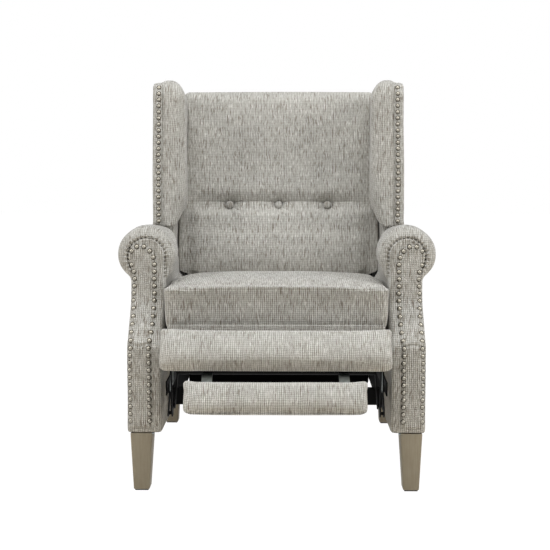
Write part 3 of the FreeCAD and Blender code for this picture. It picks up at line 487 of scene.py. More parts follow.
def nail_heads(name, places, body):
    """Heads seated on their places, square to the surface there: a bright dome on a wider, flat rim that is dark
    as painted shade.
    """
    bm = bmesh.new()
    for place, normal in places:
        turn = Vector(normal).to_track_quat("Z", "Y").to_matrix().to_4x4()
        # the second, wider disc takes the dark rim: painted shade round each head
        for radius, height, finish in ((0.0051, 0.68, 0), (0.0064, 0.24, 1)):
            made = bmesh.ops.create_uvsphere(bm, u_segments=14, v_segments=6, radius=radius)["verts"]
            bmesh.ops.scale(bm, vec=(1, 1, height), verts=made)
            bmesh.ops.transform(bm, matrix=Matrix.Translation(place) @ turn, verts=made)
            for face in {face for vert in made for face in vert.link_faces}:
                face.material_index = finish
    heads = new_piece(name, bm, nail_nickel)
    heads.data.materials.append(nail_rim_painted_shade)
    return dressed(heads, body, "zinc_steel")


def on_surface(tree, x, z):
    """Where a line from in front of the chair meets the cover, and the cover's direction there."""
    place, normal, _, _ = tree.ray_cast(Vector((x, -1.0, z)), Vector((0, 1, 0)))
    return place, normal


# Arms

arm_height = 0.621
roll_radius = 0.062
roll_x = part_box("arm_right")[1].x - roll_radius
roll_z = arm_height - roll_radius
# the scroll's face, and the length over which the roll's front end is rounded
face_y = behind_front(0.065)
turn_in = 0.026
# The right arm's nail line from the front: up the inner edge, round the scroll, down the outer edge
nail_line = [
    (0.299, 0.154), (0.3003, 0.205), (0.3003, 0.255), (0.2998, 0.300), (0.3008, 0.340), (0.2990, 0.362),
    (0.2960, 0.385), (0.2946, 0.413), (0.2945, 0.440), (0.2938, 0.470), (0.2944, 0.495), (0.2938, 0.520),
    (0.2938, 0.541), (0.2975, 0.558), (0.3060, 0.572), (0.3180, 0.5805), (0.3310, 0.5815), (0.3440, 0.5750),
    (0.3518, 0.563), (0.3528, 0.549), (0.3480, 0.535), (0.3425, 0.519), (0.3412, 0.500), (0.3428, 0.480),
    (0.3440, 0.455), (0.3425, 0.430), (0.3418, 0.412), (0.3430, 0.392), (0.3430, 0.368), (0.3432, 0.345),
    (0.3448, 0.318), (0.3455, 0.290), (0.3450, 0.250), (0.3445, 0.214), (0.3450, 0.180), (0.3450, 0.154),
]
arm_nail_spacing = 0.0174
# The line into which the cover is gathered: an arc over the scroll, and upright on the inner edge
gather_x, gather_z, gather_radius = 0.3128, 0.5564, 0.0454
inner_gather_x = 0.2685
pleat_run = 0.0095
# the crease across the knee, where the cover turns from the slope to the upright
knee_z = 0.353


def turn_roll_in(places, sign):
    """Rounds the roll's front end, and lets the roll swell a little behind that."""
    across = places[:, 0] * sign
    around = np.stack([across - roll_x, places[:, 2] - roll_z], axis=1)
    radial = np.maximum(np.linalg.norm(around, axis=1), 1e-6)
    behind = places[:, 1] - face_y
    kept = np.clip(1 - behind / turn_in, 0, 1)
    inward = turn_in * (1 - np.sqrt(1 - kept ** 2))
    on_roll = ease(places[:, 2], 0.490, 0.535) * ease(radial, 0.035, 0.05)
    swell = 0.002 * ease(behind, 0.0, 0.05) * (1 - ease(behind, 0.09, 0.30)) * on_roll
    outer = ease(radial, 0.044, roll_radius)
    step = (swell - inward * 0.85 * outer * on_roll) / radial
    places[:, 0] += around[:, 0] * step * sign
    places[:, 2] += around[:, 1] * step


def fill_roll(places, sign):
    """The roll is stuffed fullest in front, and tapers on top and inside towards the back."""
    y, up = places[:, 1], places[:, 2]
    rises = np.interp(y, (-0.20, -0.10, 0.0, 0.11, 0.15, 0.20), (1.11, 1.05, 0.93, 0.78, 0.83, 1.0))
    rises -= np.maximum(rises - 1.03, 0) * ease(places[:, 0] * sign, roll_x, roll_x + 0.04)
    places[:, 2] = np.where(up > roll_z, roll_z + (up - roll_z) * rises, up)
    across, up = places[:, 0] * sign, places[:, 2]
    behind = y - face_y
    on_roll = ease(up, 0.497, 0.520)
    # how far the inner side stands from the roll's middle, and how far the solid's does
    reach = np.maximum(0.0725 - 0.1146 * np.maximum(y + 0.145, 0), 0.0355)
    as_built = 0.053 + 0.007 * ease(up, 0.500, 0.53)
    wider = 1 + (reach / as_built - 1) * on_roll * ease(behind, 0.0, 0.03)
    across = np.where(across < roll_x, roll_x - (roll_x - across) * wider, across)
    # below the roll the inner side is drawn in, which leaves room for the back cushion
    drawn = 0.0165 * ease(behind, 0.22, 0.32) * (1 - ease(across, 0.27, 0.325)) * ease(up, 0.440, 0.472)
    places[:, 0] = (across + drawn * (1 - on_roll)) * sign


def from_gather_line(across, up):
    """How far outside the arc of the gathered line each point is."""
    return np.hypot(across - gather_x, up - gather_z) - gather_radius


def gather_cover(arm, sign):
    """The cover is gathered into a sunk line, pleated, with a small welt on each side."""
    def near_gathers(points):
        across, up = points[:, 0] * sign, points[:, 2]
        ring = (np.abs(from_gather_line(across, up)) < 0.012) & (up > 0.495)
        neck = (np.abs(across - inner_gather_x) < 0.009) & (up > 0.42) & (up < 0.57)
        return (points[:, 1] < face_y + 0.03) & (ring | neck)

    refined(arm, near_gathers, 2)
    places, normals = points_of(arm), normals_of(arm)
    across, up = places[:, 0] * sign, places[:, 2]
    away = from_gather_line(across, up)
    turn = np.arctan2(up - gather_z, across - gather_x)
    faces_front = ease(-normals[:, 1], 0.05, 0.5) * (places[:, 1] < face_y + 0.03)
    above_neck = np.where(across < gather_x, ease(up, 0.546, 0.556), 1.0)
    on_scroll = faces_front * ease(up, 0.500, 0.520) * above_neck
    pleats_round = round(2 * math.pi * gather_radius / pleat_run)
    pleats = 0.5 + 0.5 * np.sin(turn * pleats_round)
    depth = on_scroll * (
        -0.0085 * np.exp(-(away / 0.0024) ** 2) * (0.3 + 0.7 * pleats)
        + np.exp(-((away - 0.0058) / 0.0042) ** 2) * (0.0016 - 0.0024 * pleats)
        + 0.0008 * np.exp(-((away + 0.0048) / 0.0035) ** 2))
    # the gathered line runs on down the inner edge
    neck = faces_front * (1 - ease(up, 0.545, 0.565)) * ease(up, 0.42, 0.45)
    pleats = 0.5 + 0.5 * np.sin(up * 2 * math.pi / pleat_run)
    beside = across - inner_gather_x
    depth += neck * (-0.0070 * np.exp(-(beside / 0.0022) ** 2) * (0.3 + 0.7 * pleats)
                     + 0.0010 * np.exp(-((beside + 0.005) / 0.004) ** 2))
    depth += 0.0007 * unevenness(places, 0.16, 4.0)
    put(arm, places + normals * depth[:, None])


def line_arm_and_paint_shade(arm, sign):
    """Lines the arm's underside in black cambric, and paints shade in the same black on its inner side below the
    seat and behind the footrest's linkage.
    """
    lined_from, lined_to = behind_front(0.165), behind_front(0.62)

    def underside_or_shaded(centre, normal):
        # faces made black: the underside as a dust cover, the inner side as painted shade
        underside = normal.z < -0.75 and centre.z < 0.16
        return underside or normal.x * sign < -0.6 and centre.z < 0.385 and lined_from < centre.y < lined_to

    lined_black_as_shade(arm, underside_or_shaded)
    # towards the back the lining hangs a little below the arm's inner side
    places = points_of(arm)
    hang = ease(places[:, 1], 0.0, 0.16) * (1 - ease(places[:, 0] * sign, 0.275, 0.300))
    places[:, 2] -= 0.013 * hang * (1 - ease(places[:, 2], 0.141, 0.20))
    put(arm, places)


def make_arm(side, sign):
    """Padded arm: the roll's cover turns round on the front and is gathered behind the scroll's panel."""
    arm = cover_of("arm_" + side, "arm_cover_" + side, upholstery, 0.0042, 12)
    places = points_of(arm)
    turn_roll_in(places, sign)
    fill_roll(places, sign)
    put(arm, places)
    softened(arm, 10, 1 - ease(places[:, 1], face_y + 0.02, face_y + 0.05))
    gather_cover(arm, sign)
    line_arm_and_paint_shade(arm, sign)
    return dressed(arm, "base", "tweed", "arm_" + side)


def face_forwards(bm):
    """Turns an open sheet's faces towards the front."""
    bmesh.ops.recalc_face_normals(bm, faces=bm.faces[:])
    if sum(face.normal.y * face.calc_area() for face in bm.faces) > 0:
        bmesh.ops.reverse_faces(bm, faces=bm.faces[:])


def backed(piece, name):
    """Makes an open sheet 4 mm thick, behind its face."""
    thick = piece.modifiers.new(name, "SOLIDIFY")
    thick.thickness = 0.004
    thick.offset = -1.0


def make_panel(side, sign, arm):
    """Covered board inside the nail line, laid on the arm's front. Gives back a tree of its surface."""
    tree = tree_of(arm)
    step = 0.008
    margin = 0.005
    edge = smooth_path(nail_line, step)
    bm = bmesh.new()
    grown = []
    for i, (x, z) in enumerate(edge):
        before, after = edge[max(i - 1, 0)], edge[min(i + 1, len(edge) - 1)]
        run = after - before
        outward = np.array([-run[1], run[0]]) / np.linalg.norm(run)
        grown.append(bm.verts.new(((x + outward[0] * margin) * sign, 0.0, z + outward[1] * margin)))
    bm.faces.new(grown)
    for height in np.arange(0.150, 0.595, step):
        bmesh.ops.bisect_plane(bm, geom=bm.verts[:] + bm.edges[:] + bm.faces[:],
                               plane_co=(0, 0, height), plane_no=(0, 0, 1))
    for across in (0.303, 0.3125, 0.3225, 0.3325, 0.342):
        bmesh.ops.bisect_plane(bm, geom=bm.verts[:] + bm.edges[:] + bm.faces[:],
                               plane_co=(across * sign, 0, 0), plane_no=(1, 0, 0))
    bmesh.ops.dissolve_degenerate(bm, dist=0.0004, edges=bm.edges[:])
    face_forwards(bm)
    rim = {vert for bound in bm.edges if bound.is_boundary for vert in bound.verts}
    for vert in bm.verts:
        place, _ = on_surface(tree, vert.co.x, vert.co.z)
        vert.co.y = place.y - (0.0012 if vert in rim else 0.0042)
    panel = new_piece("arm_panel_" + side, bm, upholstery)
    backed(panel, "board")
    subdivided(panel)
    refined(panel, lambda points: np.abs(points[:, 2] - knee_z) < 0.013)
    places, normals = points_of(panel), normals_of(panel)
    above = places[:, 2] - knee_z - 0.002 * np.sin(places[:, 0] * 160)
    depth = -0.0022 * np.exp(-(above / 0.0024) ** 2) + 0.0014 * np.exp(-((above - 0.007) / 0.0045) ** 2)
    put(panel, places + normals * (depth * ease(-normals[:, 1], 0.1, 0.5))[:, None])
    dressed(panel, "base", "tweed", "arm_facings")
    return tree_of(panel)


for side, sign in sides:
    panel_tree = make_panel(side, sign, make_arm(side, sign))
    heads = []
    for x, z in smooth_path(nail_line, arm_nail_spacing):
        place, normal = on_surface(panel_tree, x * sign, z)
        if place is not None:
            heads.append((place, normal.lerp(Vector((0, -1, 0)), 0.5).normalized()))
    nail_heads("arm_nails_" + side, heads, "base")


# Wings

wing_front_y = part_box("wing_right")[0].y
wing_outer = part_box("wing_right")[1].x
wing_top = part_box("wing_right")[1].z
strip_width = 0.026
strip_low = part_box("wing_facings")[0].z
strip_high = wing_top - 0.0095
strip_corner = 0.011
# the seam lies just beside the strip
wing_seam_inset = 0.0275
wing_nail_inset = 0.018
wing_nail_low, wing_nail_high = 0.6205, 0.985
wing_nail_spacing = 0.0165


def outer_edge(height):
    """The wing draws in a little towards its top."""
    return wing_outer - 0.0034 * ease(height, 0.72, 0.97)


def spread(height):
    """How much the wings' inner sides curve out low down."""
    return 0.0175 * (1 - ease(height, 0.575, 0.70))


def make_wing(side, sign):
    """Padded wing with a narrow nailed strip up its front edge and a seam beside the strip."""
    wing = cover_of("wing_" + side, "wing_cover_" + side, back_upholstery, 0.0042, 12)
    places = points_of(wing)
    across, up = places[:, 0] * sign, places[:, 2]
    # the front of the inner side is padded full, and behind that it draws back to the cushion
    full = np.interp(places[:, 1], (0.124, 0.15, 0.17, 0.20, 0.245, 0.30),
                     (-0.002, -0.0068, -0.0077, -0.0050, 0.0, 0.0075)) * ease(up, 0.62, 0.72)
    moved = (spread(up) + full) * (1 - ease(across, 0.262, 0.325))
    places[:, 0] += sign * (moved + (outer_edge(up) - wing_outer) * ease(across, 0.28, 0.34))
    # the crest falls away to the inner side
    crest = ease(up, 0.90, 0.985)
    places[:, 2] += crest * (0.002 * ease(across, 0.275, 0.290) - np.interp(
        across, (0.25, 0.262, 0.269, 0.278, 0.295, 0.31), (0.030, 0.0235, 0.016, 0.0072, 0.001, 0.0)))
    put(wing, places)
    normals = normals_of(wing)
    across = places[:, 0] * sign
    faces_front = ease(-normals[:, 1], 0.3, 0.8)
    seam_x = outer_edge(places[:, 2]) - wing_seam_inset
    seam = np.exp(-((across - seam_x) / 0.0026) ** 2)
    puff = np.exp(-((across - seam_x + 0.018) / 0.013) ** 2)
    depth = faces_front * (-0.004 * seam + 0.002 * puff)
    depth += 0.0008 * unevenness(places, 0.19, 9.0)
    put(wing, places + normals * depth[:, None])
    return dressed(wing, "back", "tweed", "wing_" + side)


def make_wing_strip(side, sign, wing):
    """Narrow padded band up the wing's front edge, turned over at its top."""
    tree = tree_of(wing)
    margin = 0.0012
    bm = bmesh.new()
    bmesh.ops.create_grid(bm, x_segments=8, y_segments=90, size=0.5)
    for vert in bm.verts:
        share_x, share_z = vert.co.x + 0.5, vert.co.y + 0.5
        z = strip_low + 0.002 + (strip_high - strip_low - 0.002) * share_z
        # the outer corner of its top is rounded
        into_corner = min(1.0, max(0.0, (z - strip_high + strip_corner) / strip_corner))
        corner = strip_corner * (1 - math.sqrt(1 - into_corner ** 2))
        x = outer_edge(z) - margin - corner * (1 - share_x) - (strip_width - 2 * margin) * share_x
        top = ease(z, strip_high - 0.012, strip_high)
        crown = 1 - (2 * share_x - 1) ** 4
        rim = share_x in (0.0, 1.0) or share_z in (0.0, 1.0)
        stand = -0.001 if rim else 0.0006 + 0.0032 * crown * (1 - 0.6 * top)
        place, _ = on_surface(tree, x * sign, min(z, strip_high - 0.010))
        y = min(place.y, wing_front_y + 0.006) if place is not None else wing_front_y
        vert.co = (x * sign, y - stand + 0.010 * top ** 2, z)
    face_forwards(bm)
    strip = new_piece("wing_strip_" + side, bm, back_upholstery)
    backed(strip, "band")
    settled(strip)
    return dressed(strip, "back", "tweed", "wing_facings")


for side, sign in sides:
    strip_tree = tree_of(make_wing_strip(side, sign, make_wing(side, sign)))
    heads = []
    spaces = round((wing_nail_high - wing_nail_low) / wing_nail_spacing)
    for z in np.linspace(wing_nail_low, wing_nail_high, spaces + 1):
        x = outer_edge(z) - wing_nail_inset
        place, normal = on_surface(strip_tree, x * sign, z)
        if place is not None:
            heads.append((place, normal))
    nail_heads("wing_nails_" + side, heads, "back")


# Back cushion and buttons

rake_sine, rake_cosine = math.sin(back_rake), math.cos(back_rake)
back_face = (behind_front(0.531), 0.500)
back_normal = np.array([0.0, -rake_cosine, rake_sine])
button_rise, button_spacing = 0.164, 0.142
# the back's pivot, and the hinge plates' front edge
pivot_y = next(joint["pos_m"][1] for joint in frame["joints"] if joint["name"] == "back_recline")
hinge_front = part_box("base_hinges")[0].y - 0.001


def up_the_back(places):
    """How far each point is up the back's face, and how deep it is behind that face."""
    behind, above = places[:, 1] - back_face[0], places[:, 2] - back_face[1]
    return behind * rake_sine + above * rake_cosine, behind * rake_cosine - above * rake_sine


def seam_rise(x):
    """The seam's height on the back: it dips to each button and arches between them."""
    spaces = np.abs(x) / button_spacing
    # beyond the outer buttons it rises to its full height and stays there
    share = np.where(spaces > 1, np.minimum((spaces - 1) * 1.1, 0.5), spaces % 1.0)
    return button_rise - 0.001 + 0.0095 * (1 - (2 * share - 1) ** 6)


def make_back_cushion():
    """Loose-filled back with one row of tufts and a seam that arches from button to button."""
    cushion = cover_of("back_cushion", "back_cover", back_upholstery, 0.006, 6)
    places = points_of(cushion)
    y, height = places[:, 1], places[:, 2]
    _, depth = up_the_back(places)
    # below the seam the filling hangs full, most of all just above the seat
    hang = np.interp(
        height, (0.415, 0.445, 0.475, 0.505, 0.535, 0.565, 0.595, 0.625, 0.660, 0.700, 0.770),
        (0.0, -0.008, -0.005, 0.0, 0.006, 0.016, 0.013, 0.006, -0.004, -0.006, 0.0))
    y += hang * (1 - ease(depth, 0.02, 0.11))
    # low down it widens to meet the arms, and higher up it fills the width between the wings
    beside = ease(np.abs(places[:, 0]), 0.19, 0.256)
    low_down = 0.0185 * (1 - ease(height, 0.635, 0.70)) * (1 - ease(y, 0.29, 0.36))
    at_top = 0.011 * ease(height, 0.93, 0.985)
    # it stays clear of the hinge plates
    clear = np.where(y < hinge_front, ease(height, 0.435, 0.450), ease(height, 0.461, 0.469))
    # behind the pivot only what stays above the arms' narrow part as the back leans may widen
    swept = 0.478 + 0.625 * (y - pivot_y)
    clear *= np.where(y > pivot_y, ease(height, swept - 0.014, swept), 1.0)
    places[:, 0] += np.sign(places[:, 0]) * beside * (0.009 + low_down + at_top) * clear
    put(cushion, places)
    normals = normals_of(cushion)
    faces_front = ease(normals @ back_normal, 0.2, 0.8)
    put(cushion, places - normals * (0.004 * faces_front)[:, None])
    places = points_of(cushion)
    rise, _ = up_the_back(places)
    from_seam = np.abs(rise - seam_rise(places[:, 0]))
    half_width = 0.261
    from_edge = half_width - np.abs(places[:, 0])
    share = faces_front * ease(from_seam, 0.0, 0.05) * ease(from_edge, -0.009, 0.03)
    share *= 1 - 0.65 * (rise > seam_rise(places[:, 0]))
    plumped(cushion, 4.0, 0.010, share)
    subdivided(cushion)

    def near_seam(points):
        rise, depth = up_the_back(points)
        return (np.abs(rise - button_rise - 0.004) < 0.02) & (depth < 0.06)

    refined(cushion, near_seam)
    places, normals = points_of(cushion), normals_of(cushion)
    rise, depth = up_the_back(places)
    faces_front = ease(normals @ back_normal, 0.2, 0.8)
    x = places[:, 0]
    beyond = ease(np.abs(x), button_spacing + 0.03, 0.24)
    above = rise - seam_rise(x)
    # a stitched line, with a stitch every 5.5 mm
    stitch = 0.7 + 0.3 * np.sin(x * 2 * math.pi / 0.0055)
    crease = -0.0030 * np.exp(-(above / 0.0017) ** 2) * stitch - 0.0016 * np.exp(-(above / 0.009) ** 2)
    crease += 0.0012 * np.exp(-((above + 0.009) / 0.006) ** 2)
    pull = np.zeros(len(places))
    for button in (-button_spacing, 0.0, button_spacing):
        away = np.hypot(x - button, rise - button_rise)
        angle = np.arctan2(rise - button_rise, x - button)
        pull -= 0.0042 * np.exp(-(away / 0.019) ** 2)
        folds = np.exp(-((away - 0.030) / 0.016) ** 2) * np.maximum(0, np.sin(angle * 9 + 0.8)) ** 2
        pull -= 0.0022 * folds * ease(-np.sin(angle), -0.3, 0.5)
    soft = 0.0012 * unevenness(places, 0.24, 2.0)
    moved = faces_front * (crease * (1 - 0.75 * beyond) + pull + soft)
    # the side seams, 16 mm in from the face
    side = np.exp(-((depth - 0.016) / 0.0022) ** 2) * ease(np.abs(normals[:, 0]), 0.5, 0.9)
    put(cushion, places + normals * (moved - 0.002 * side)[:, None])
    return dressed(cushion, "back", "tweed", "back_cushion")


def make_buttons():
    """Three covered buttons, domed on both sides and half sunk in their tufts."""
    bm = bmesh.new()
    low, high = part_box("back_buttons")
    rake = Matrix.Rotation(-back_rake, 4, "X")
    for x in (-button_spacing, 0.0, button_spacing):
        made = bmesh.ops.create_uvsphere(bm, u_segments=28, v_segments=14, radius=0.0108)["verts"]
        bmesh.ops.scale(bm, vec=(1, 0.46, 1), verts=made)
        bmesh.ops.transform(bm, matrix=Matrix.Translation(
            (x, (low.y + high.y) / 2, (low.z + high.z) / 2)) @ rake, verts=made)
    buttons = new_piece("covered_buttons", bm, back_upholstery)
    return dressed(buttons, "back", "tweed", "back_buttons")


make_back_cushion()
make_buttons()


# Seat and footrest

def seat_height(x, y):
    """The seat's top: highest a third of the way back, falling to the back cushion and to its sides."""
    along = np.interp(y, (-0.31, -0.285, -0.25, -0.20, -0.15, -0.10, -0.05, 0.0, 0.10, 0.20, 0.22),
                      (0.478, 0.488, 0.4965, 0.5015, 0.5042, 0.5045, 0.500, 0.4935, 0.4805, 0.467, 0.463))
    sideways = np.interp(y, (-0.29, -0.20, 0.0, 0.2), (0.2, 1.0, 1.0, 0.35))
    return along - 0.0148 * (np.abs(x) / 0.262) ** 3.5 * sideways


def make_seat_cushion():
    """Crowned seat: it swells between its seams, and is flat where it rests on its deck."""
    cushion = cover_of("seat_cushion", "seat_cover", upholstery, 0.006, 6)
    low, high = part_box("seat_cushion")
    places = points_of(cushion)
    places[:, 2] = low.z + (places[:, 2] - low.z) * 0.94
    places[:, 1] += 0.005 * (1 - ease(places[:, 1], low.y, low.y + 0.05))
    put(cushion, places)
    normals = normals_of(cushion)
    up, front = ease(normals[:, 2], 0.0, 0.7), ease(-normals[:, 1], 0.2, 0.8)
    edge = ease(high.x - np.abs(places[:, 0]), 0.0, 0.05)
    rear = 1 - ease(places[:, 1], high.y - 0.05, high.y)
    share = np.clip(np.maximum(up * (0.35 + 0.65 * edge) * rear, front * 0.6 * (0.4 + 0.6 * edge)), 0, 1)
    plumped(cushion, 4.0, 0.014, share)
    places, tree = points_of(cushion), tree_of(cushion)
    for i, (x, y, z) in enumerate(places):
        top, _, _, _ = tree.ray_cast(Vector((x, y, 1.0)), Vector((0, 0, -1)))
        if top is not None and top.z > low.z + 0.03:
            wanted = low.z + (top.z - low.z) * 0.15 + (seat_height(x, y) - low.z) * 0.85
            places[i, 2] = low.z + (z - low.z) * (wanted - low.z) / (top.z - low.z)
    # in front the cover reaches down over the ledge
    lip = (1 - ease(places[:, 2], low.z, low.z + 0.04)) * (1 - ease(places[:, 1], -0.285, -0.262))
    places[:, 2] -= 0.010 * lip
    put(cushion, places)
    half_width = 0.2645
    drawn_to(cushion, np.array([1.0, 0, 0]), -half_width, half_width)
    # the front is upright to its seam, and turns over there in a tight round
    places = points_of(cushion)
    front_round, shoulder_z = 0.034, 0.488
    forward, upward = squared(front_round - (places[:, 1] - places[:, 1].min()),
                              places[:, 2] - shoulder_z + front_round, front_round)
    places[:, 1] -= forward
    places[:, 2] += upward
    put(cushion, places)
    subdivided(cushion)
    seam_z = 0.485
    refined(cushion, lambda points: (points[:, 1] < low.y + 0.02) & (np.abs(points[:, 2] - seam_z) < 0.012))
    places, normals = points_of(cushion), normals_of(cushion)
    across = np.abs(places[:, 0])
    # seam along the top of the front, and the corner's folds that run into it
    up_front = ease(-normals[:, 1], 0.15, 0.6)
    corner = ease(across, 0.205, 0.262)
    seam = np.exp(-((places[:, 2] - (seam_z + 0.004 * corner)) / 0.0018) ** 2)
    fold = np.exp(-((across - 0.252 + (places[:, 2] - high.z + 0.02) * 0.5) / 0.0035) ** 2)
    fold *= ease(places[:, 2], high.z - 0.045, high.z - 0.02) * ease(-normals[:, 1], 0.0, 0.5)
    soft = 0.0015 * unevenness(places, 0.21, 6.0) * ease(places[:, 2], low.z + 0.01, low.z + 0.04)
    put(cushion, places + normals * (soft - up_front * 0.0014 * seam - 0.002 * fold)[:, None])
    return dressed(cushion, "seat", "tweed", "seat_cushion")


def make_footrest_pad(node, cap, lower, upper):
    """Pad pulled over its board, full in the middle and tucked in at its ends.

    cap is how far it swells; lower and upper are how far its two edges stand past the solid's.
    """
    pad = cover_of(node, node + "_cover", pad_tweed_painted_lit, 0.0045, 5)
    low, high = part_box(node)
    places, normals = points_of(pad), normals_of(pad)
    tilt = math.radians(pad_tilt)
    outward = np.array([0.0, -math.sin(tilt), math.cos(tilt)])
    upward = np.array([0.0, math.cos(tilt), math.sin(tilt)])
    face = ease(normals @ outward, -0.2, 0.6)
    ends = ease(high.x - np.abs(places[:, 0]), 0.0, 0.03)
    put(pad, places - normals * (face * cap * 0.5)[:, None])
    plumped(pad, 4.0, cap, face * (0.3 + 0.7 * ends))
    subdivided(pad)
    places, normals = points_of(pad), normals_of(pad)
    soft = 0.0012 * unevenness(places, 0.17, 5.0)
    solid = points_of(nodes[node]) @ upward
    # its lower edge turns under in a wide round
    turned = np.clip(1 - (places @ upward - solid.min()) / 0.046, 0, 1) ** 2
    face = ease(normals @ outward, -0.2, 0.6)
    put(pad, places + normals * (soft * face)[:, None] - np.outer(0.011 * turned * face, outward))
    drawn_to(pad, upward, solid.min() + lower, solid.max() + upper)
    drawn_to(pad, np.array([1.0, 0, 0]), low.x - 0.001, high.x + 0.001)
    # its upper corners are nearly square
    places = points_of(pad)
    across = np.abs(places[:, 0])
    from_top = places @ upward - solid.max() - upper
    sideways, higher = squared(across - high.x + 0.024, from_top + 0.024, 0.025)
    places[:, 0] += np.sign(places[:, 0]) * sideways
    put(pad, places + np.outer(higher, upward))
    return dressed(pad, "footrest", "tweed", node)


make_seat_cushion()
make_footrest_pad("main_pad", cap=0.006, lower=0.004, upper=-0.009)
make_footrest_pad("lower_pad", cap=0.004, lower=0.0025, upper=0.004)
# the boards are covered in the black lining, which paints them as shade, and the seat's front and the back's frame
# in the chair's cloth
for node, cover in (("main_pad_board", lining_and_painted_shade), ("lower_pad_board", lining_and_painted_shade), ("seat_ledge", upholstery),
                    ("seat_front_rail", upholstery), ("back_top_rail", back_upholstery),
                    ("back_posts", back_upholstery)):
    coat(node, cover)

rear_cover = cover_of("back_panel", "rear_cover", back_upholstery, 0.0055, 6)
dressed(rear_cover, "back", "tweed", "back_panel")
rail_cover = cover_of("rear_rail", "rail_cover", upholstery, 0.004, 6)
# the rail cover's front, top and bottom are black: painted shade under the seat
lined_black_as_shade(rail_cover, lambda centre, normal: normal.y < -0.5 or abs(normal.z) > 0.7)
# its cover hangs a little below the rail, and reaches to the arms
rail_low, rail_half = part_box("rear_rail")[0].z, 0.2698
hem = points_of(rail_cover)
hem[:, 2] -= 0.021 * (1 - ease(hem[:, 2], rail_low, rail_low + 0.059))
hem[:, 0] *= rail_half / np.abs(hem[:, 0]).max()
put(rail_cover, hem)
dressed(rail_cover, "base", "tweed_over_wood", "rear_rail")
deck = cover_of("seat_deck_pad", "deck_felt_pad", deck_felt, 0.003, 2)
dressed(deck, "seat", "deck_felt", "seat_deck_pad")


# Legs

# (inner, outer, front, rear) places of the right legs' square tops and feet
front_top, front_foot = (0.2945, 0.3468, -0.294, -0.238), (0.3025, 0.3405, -0.292, -0.256)
rear_top, rear_foot = (0.295, 0.346, 0.294, 0.346), (0.303, 0.340, 0.312, 0.348)


def add_block(bm, sign, low, high, bottom, top):
    """A tapered block from low to high between two such squares, on the right for sign 1."""
    for vert in bmesh.ops.create_cube(bm, size=1.0)["verts"]:
        inner, outer, front, rear = top if vert.co.z > 0 else bottom
        vert.co = (
            sign * (outer if vert.co.x * sign > 0 else inner),
            rear if vert.co.y > 0 else front,
            high if vert.co.z > 0 else low,
        )


def ease_edges(bm, offset, segments):
    bmesh.ops.bevel(bm, geom=bm.edges[:], offset=offset, segments=segments, profile=0.5,
                    affect="EDGES", material=-1)


def make_leg(node, sign, top, foot):
    """Square tapered leg with eased edges, let a little into the arm."""
    low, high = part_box(node)
    bm = bmesh.new()
    add_block(bm, sign, low.z, high.z + 0.0035, foot, top)
    ease_edges(bm, 0.0028, 3)
    return dressed(new_piece(node + "_tapered", bm, leg_wood), "base", "washed_wood", node)


def make_glides():
    """A thin moulded pad under each foot, 3 mm in from its edges."""
    low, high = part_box("leg_glides")
    inset = 0.003
    bm = bmesh.new()
    for sign in (1, -1):
        for inner, outer, front, rear in (front_foot, rear_foot):
            pad = (inner + inset, outer - inset, front + inset, rear - inset)
            add_block(bm, sign, low.z, high.z + 0.0005, pad, pad)
    ease_edges(bm, 0.0007, 2)
    return dressed(new_piece("glide_pads", bm, glide_nylon), "base", "glide_plastic", "leg_glides")


for side, sign in sides:
    make_leg("front_leg_" + side, sign, front_top, front_foot)
    make_leg("rear_leg_" + side, sign, rear_top, rear_foot)
make_glides()


# Floor, light and camera

def seen_directly(tree):
    """1 for rays from the camera, also by way of glass or a mirror, and 0 for rays that light the chair."""
    path = add_node(tree, "LightPath")
    rays = add_node(tree, "Math", {
        0: path.outputs["Is Camera Ray"], 1: path.outputs["Is Glossy Ray"]}, operation="MAXIMUM")
    return add_node(tree, "Math", {0: rays, 1: path.outputs["Is Transmission Ray"]}, operation="MAXIMUM")


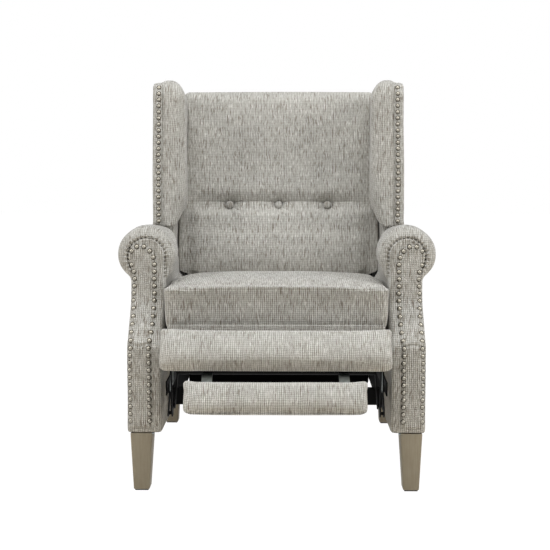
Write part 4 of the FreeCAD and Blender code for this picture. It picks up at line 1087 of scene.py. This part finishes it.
def make_floor():
    """White paper: it takes the chair's shadow, and the rest of it burns out to white."""
    bm = bmesh.new()
    bmesh.ops.create_grid(bm, x_segments=1, y_segments=1, size=12.0)
    material, tree, shader = new_material("floor, matt white", Roughness=0.9, Base_Color=colour("#efe6d7"))
    glow = add_node(tree, "Emission", {"Color": (1, 1, 1, 1), "Strength": 1.1})
    level = add_node(tree, "Math", {0: seen_directly(tree), 1: 0.92}, operation="MULTIPLY")
    both = add_node(tree, "MixShader", {0: level, 1: shader, 2: glow})
    tree.links.new(both.outputs[0], tree.nodes["Material Output"].inputs["Surface"])
    new_piece("floor", bm, material)


def make_world():
    """A white studio to look at, which gives the chair only a faint fill."""
    world = bpy.data.worlds.new("studio")
    bpy.context.scene.world = world
    world.use_nodes = True
    tree = world.node_tree
    fill = add_node(tree, "Background", {"Color": (1, 1, 1, 1), "Strength": 0.08})
    white = add_node(tree, "Background", {"Color": (1, 1, 1, 1), "Strength": 1.0})
    both = add_node(tree, "MixShader", {0: seen_directly(tree), 1: fill, 2: white})
    tree.links.new(both.outputs[0], tree.nodes["World Output"].inputs["Surface"])


make_floor()
make_world()


def soft_light(name, place, aim, size, power, tint=(1.0, 1.0, 1.0)):
    """A round soft box at place, turned towards aim. size is its width in metres, power in watts."""
    lamp = bpy.data.lights.new(name, "AREA")
    lamp.color = tint
    lamp.shape = "DISK"
    lamp.size = size
    lamp.energy = power
    light = bpy.data.objects.new(name, lamp)
    light.location = place
    light.rotation_euler = (Vector(aim) - Vector(place)).to_track_quat("-Z", "Y").to_euler()
    bpy.context.scene.collection.objects.link(light)


soft_light("overhead", (0.0, -0.9, 3.0), (0.0, 0.0, 0.5), 2.6, 55.0, (0.98, 0.995, 1.0))
soft_light("left", (-2.6, -1.2, 1.9), (0.0, 0.0, 0.55), 1.6, 34.0)
soft_light("right", (2.6, -1.2, 1.9), (0.0, 0.0, 0.55), 1.6, 40.0)
soft_light("rear", (0.8, 2.8, 2.2), (0.0, 0.1, 0.6), 2.0, 18.0)

lens = bpy.data.cameras.new("camera")
lens.lens = 63.3
lens.sensor_width = 36.0
lens.shift_y = -0.051
camera = bpy.data.objects.new("camera", lens)
camera.location = (0.0283, -2.5403, 0.7819)
camera.rotation_euler = (math.radians(85.0), 0.0, math.radians(0.789))
bpy.context.scene.collection.objects.link(camera)
bpy.context.scene.camera = camera
bpy.context.scene.view_settings.view_transform = "Standard"
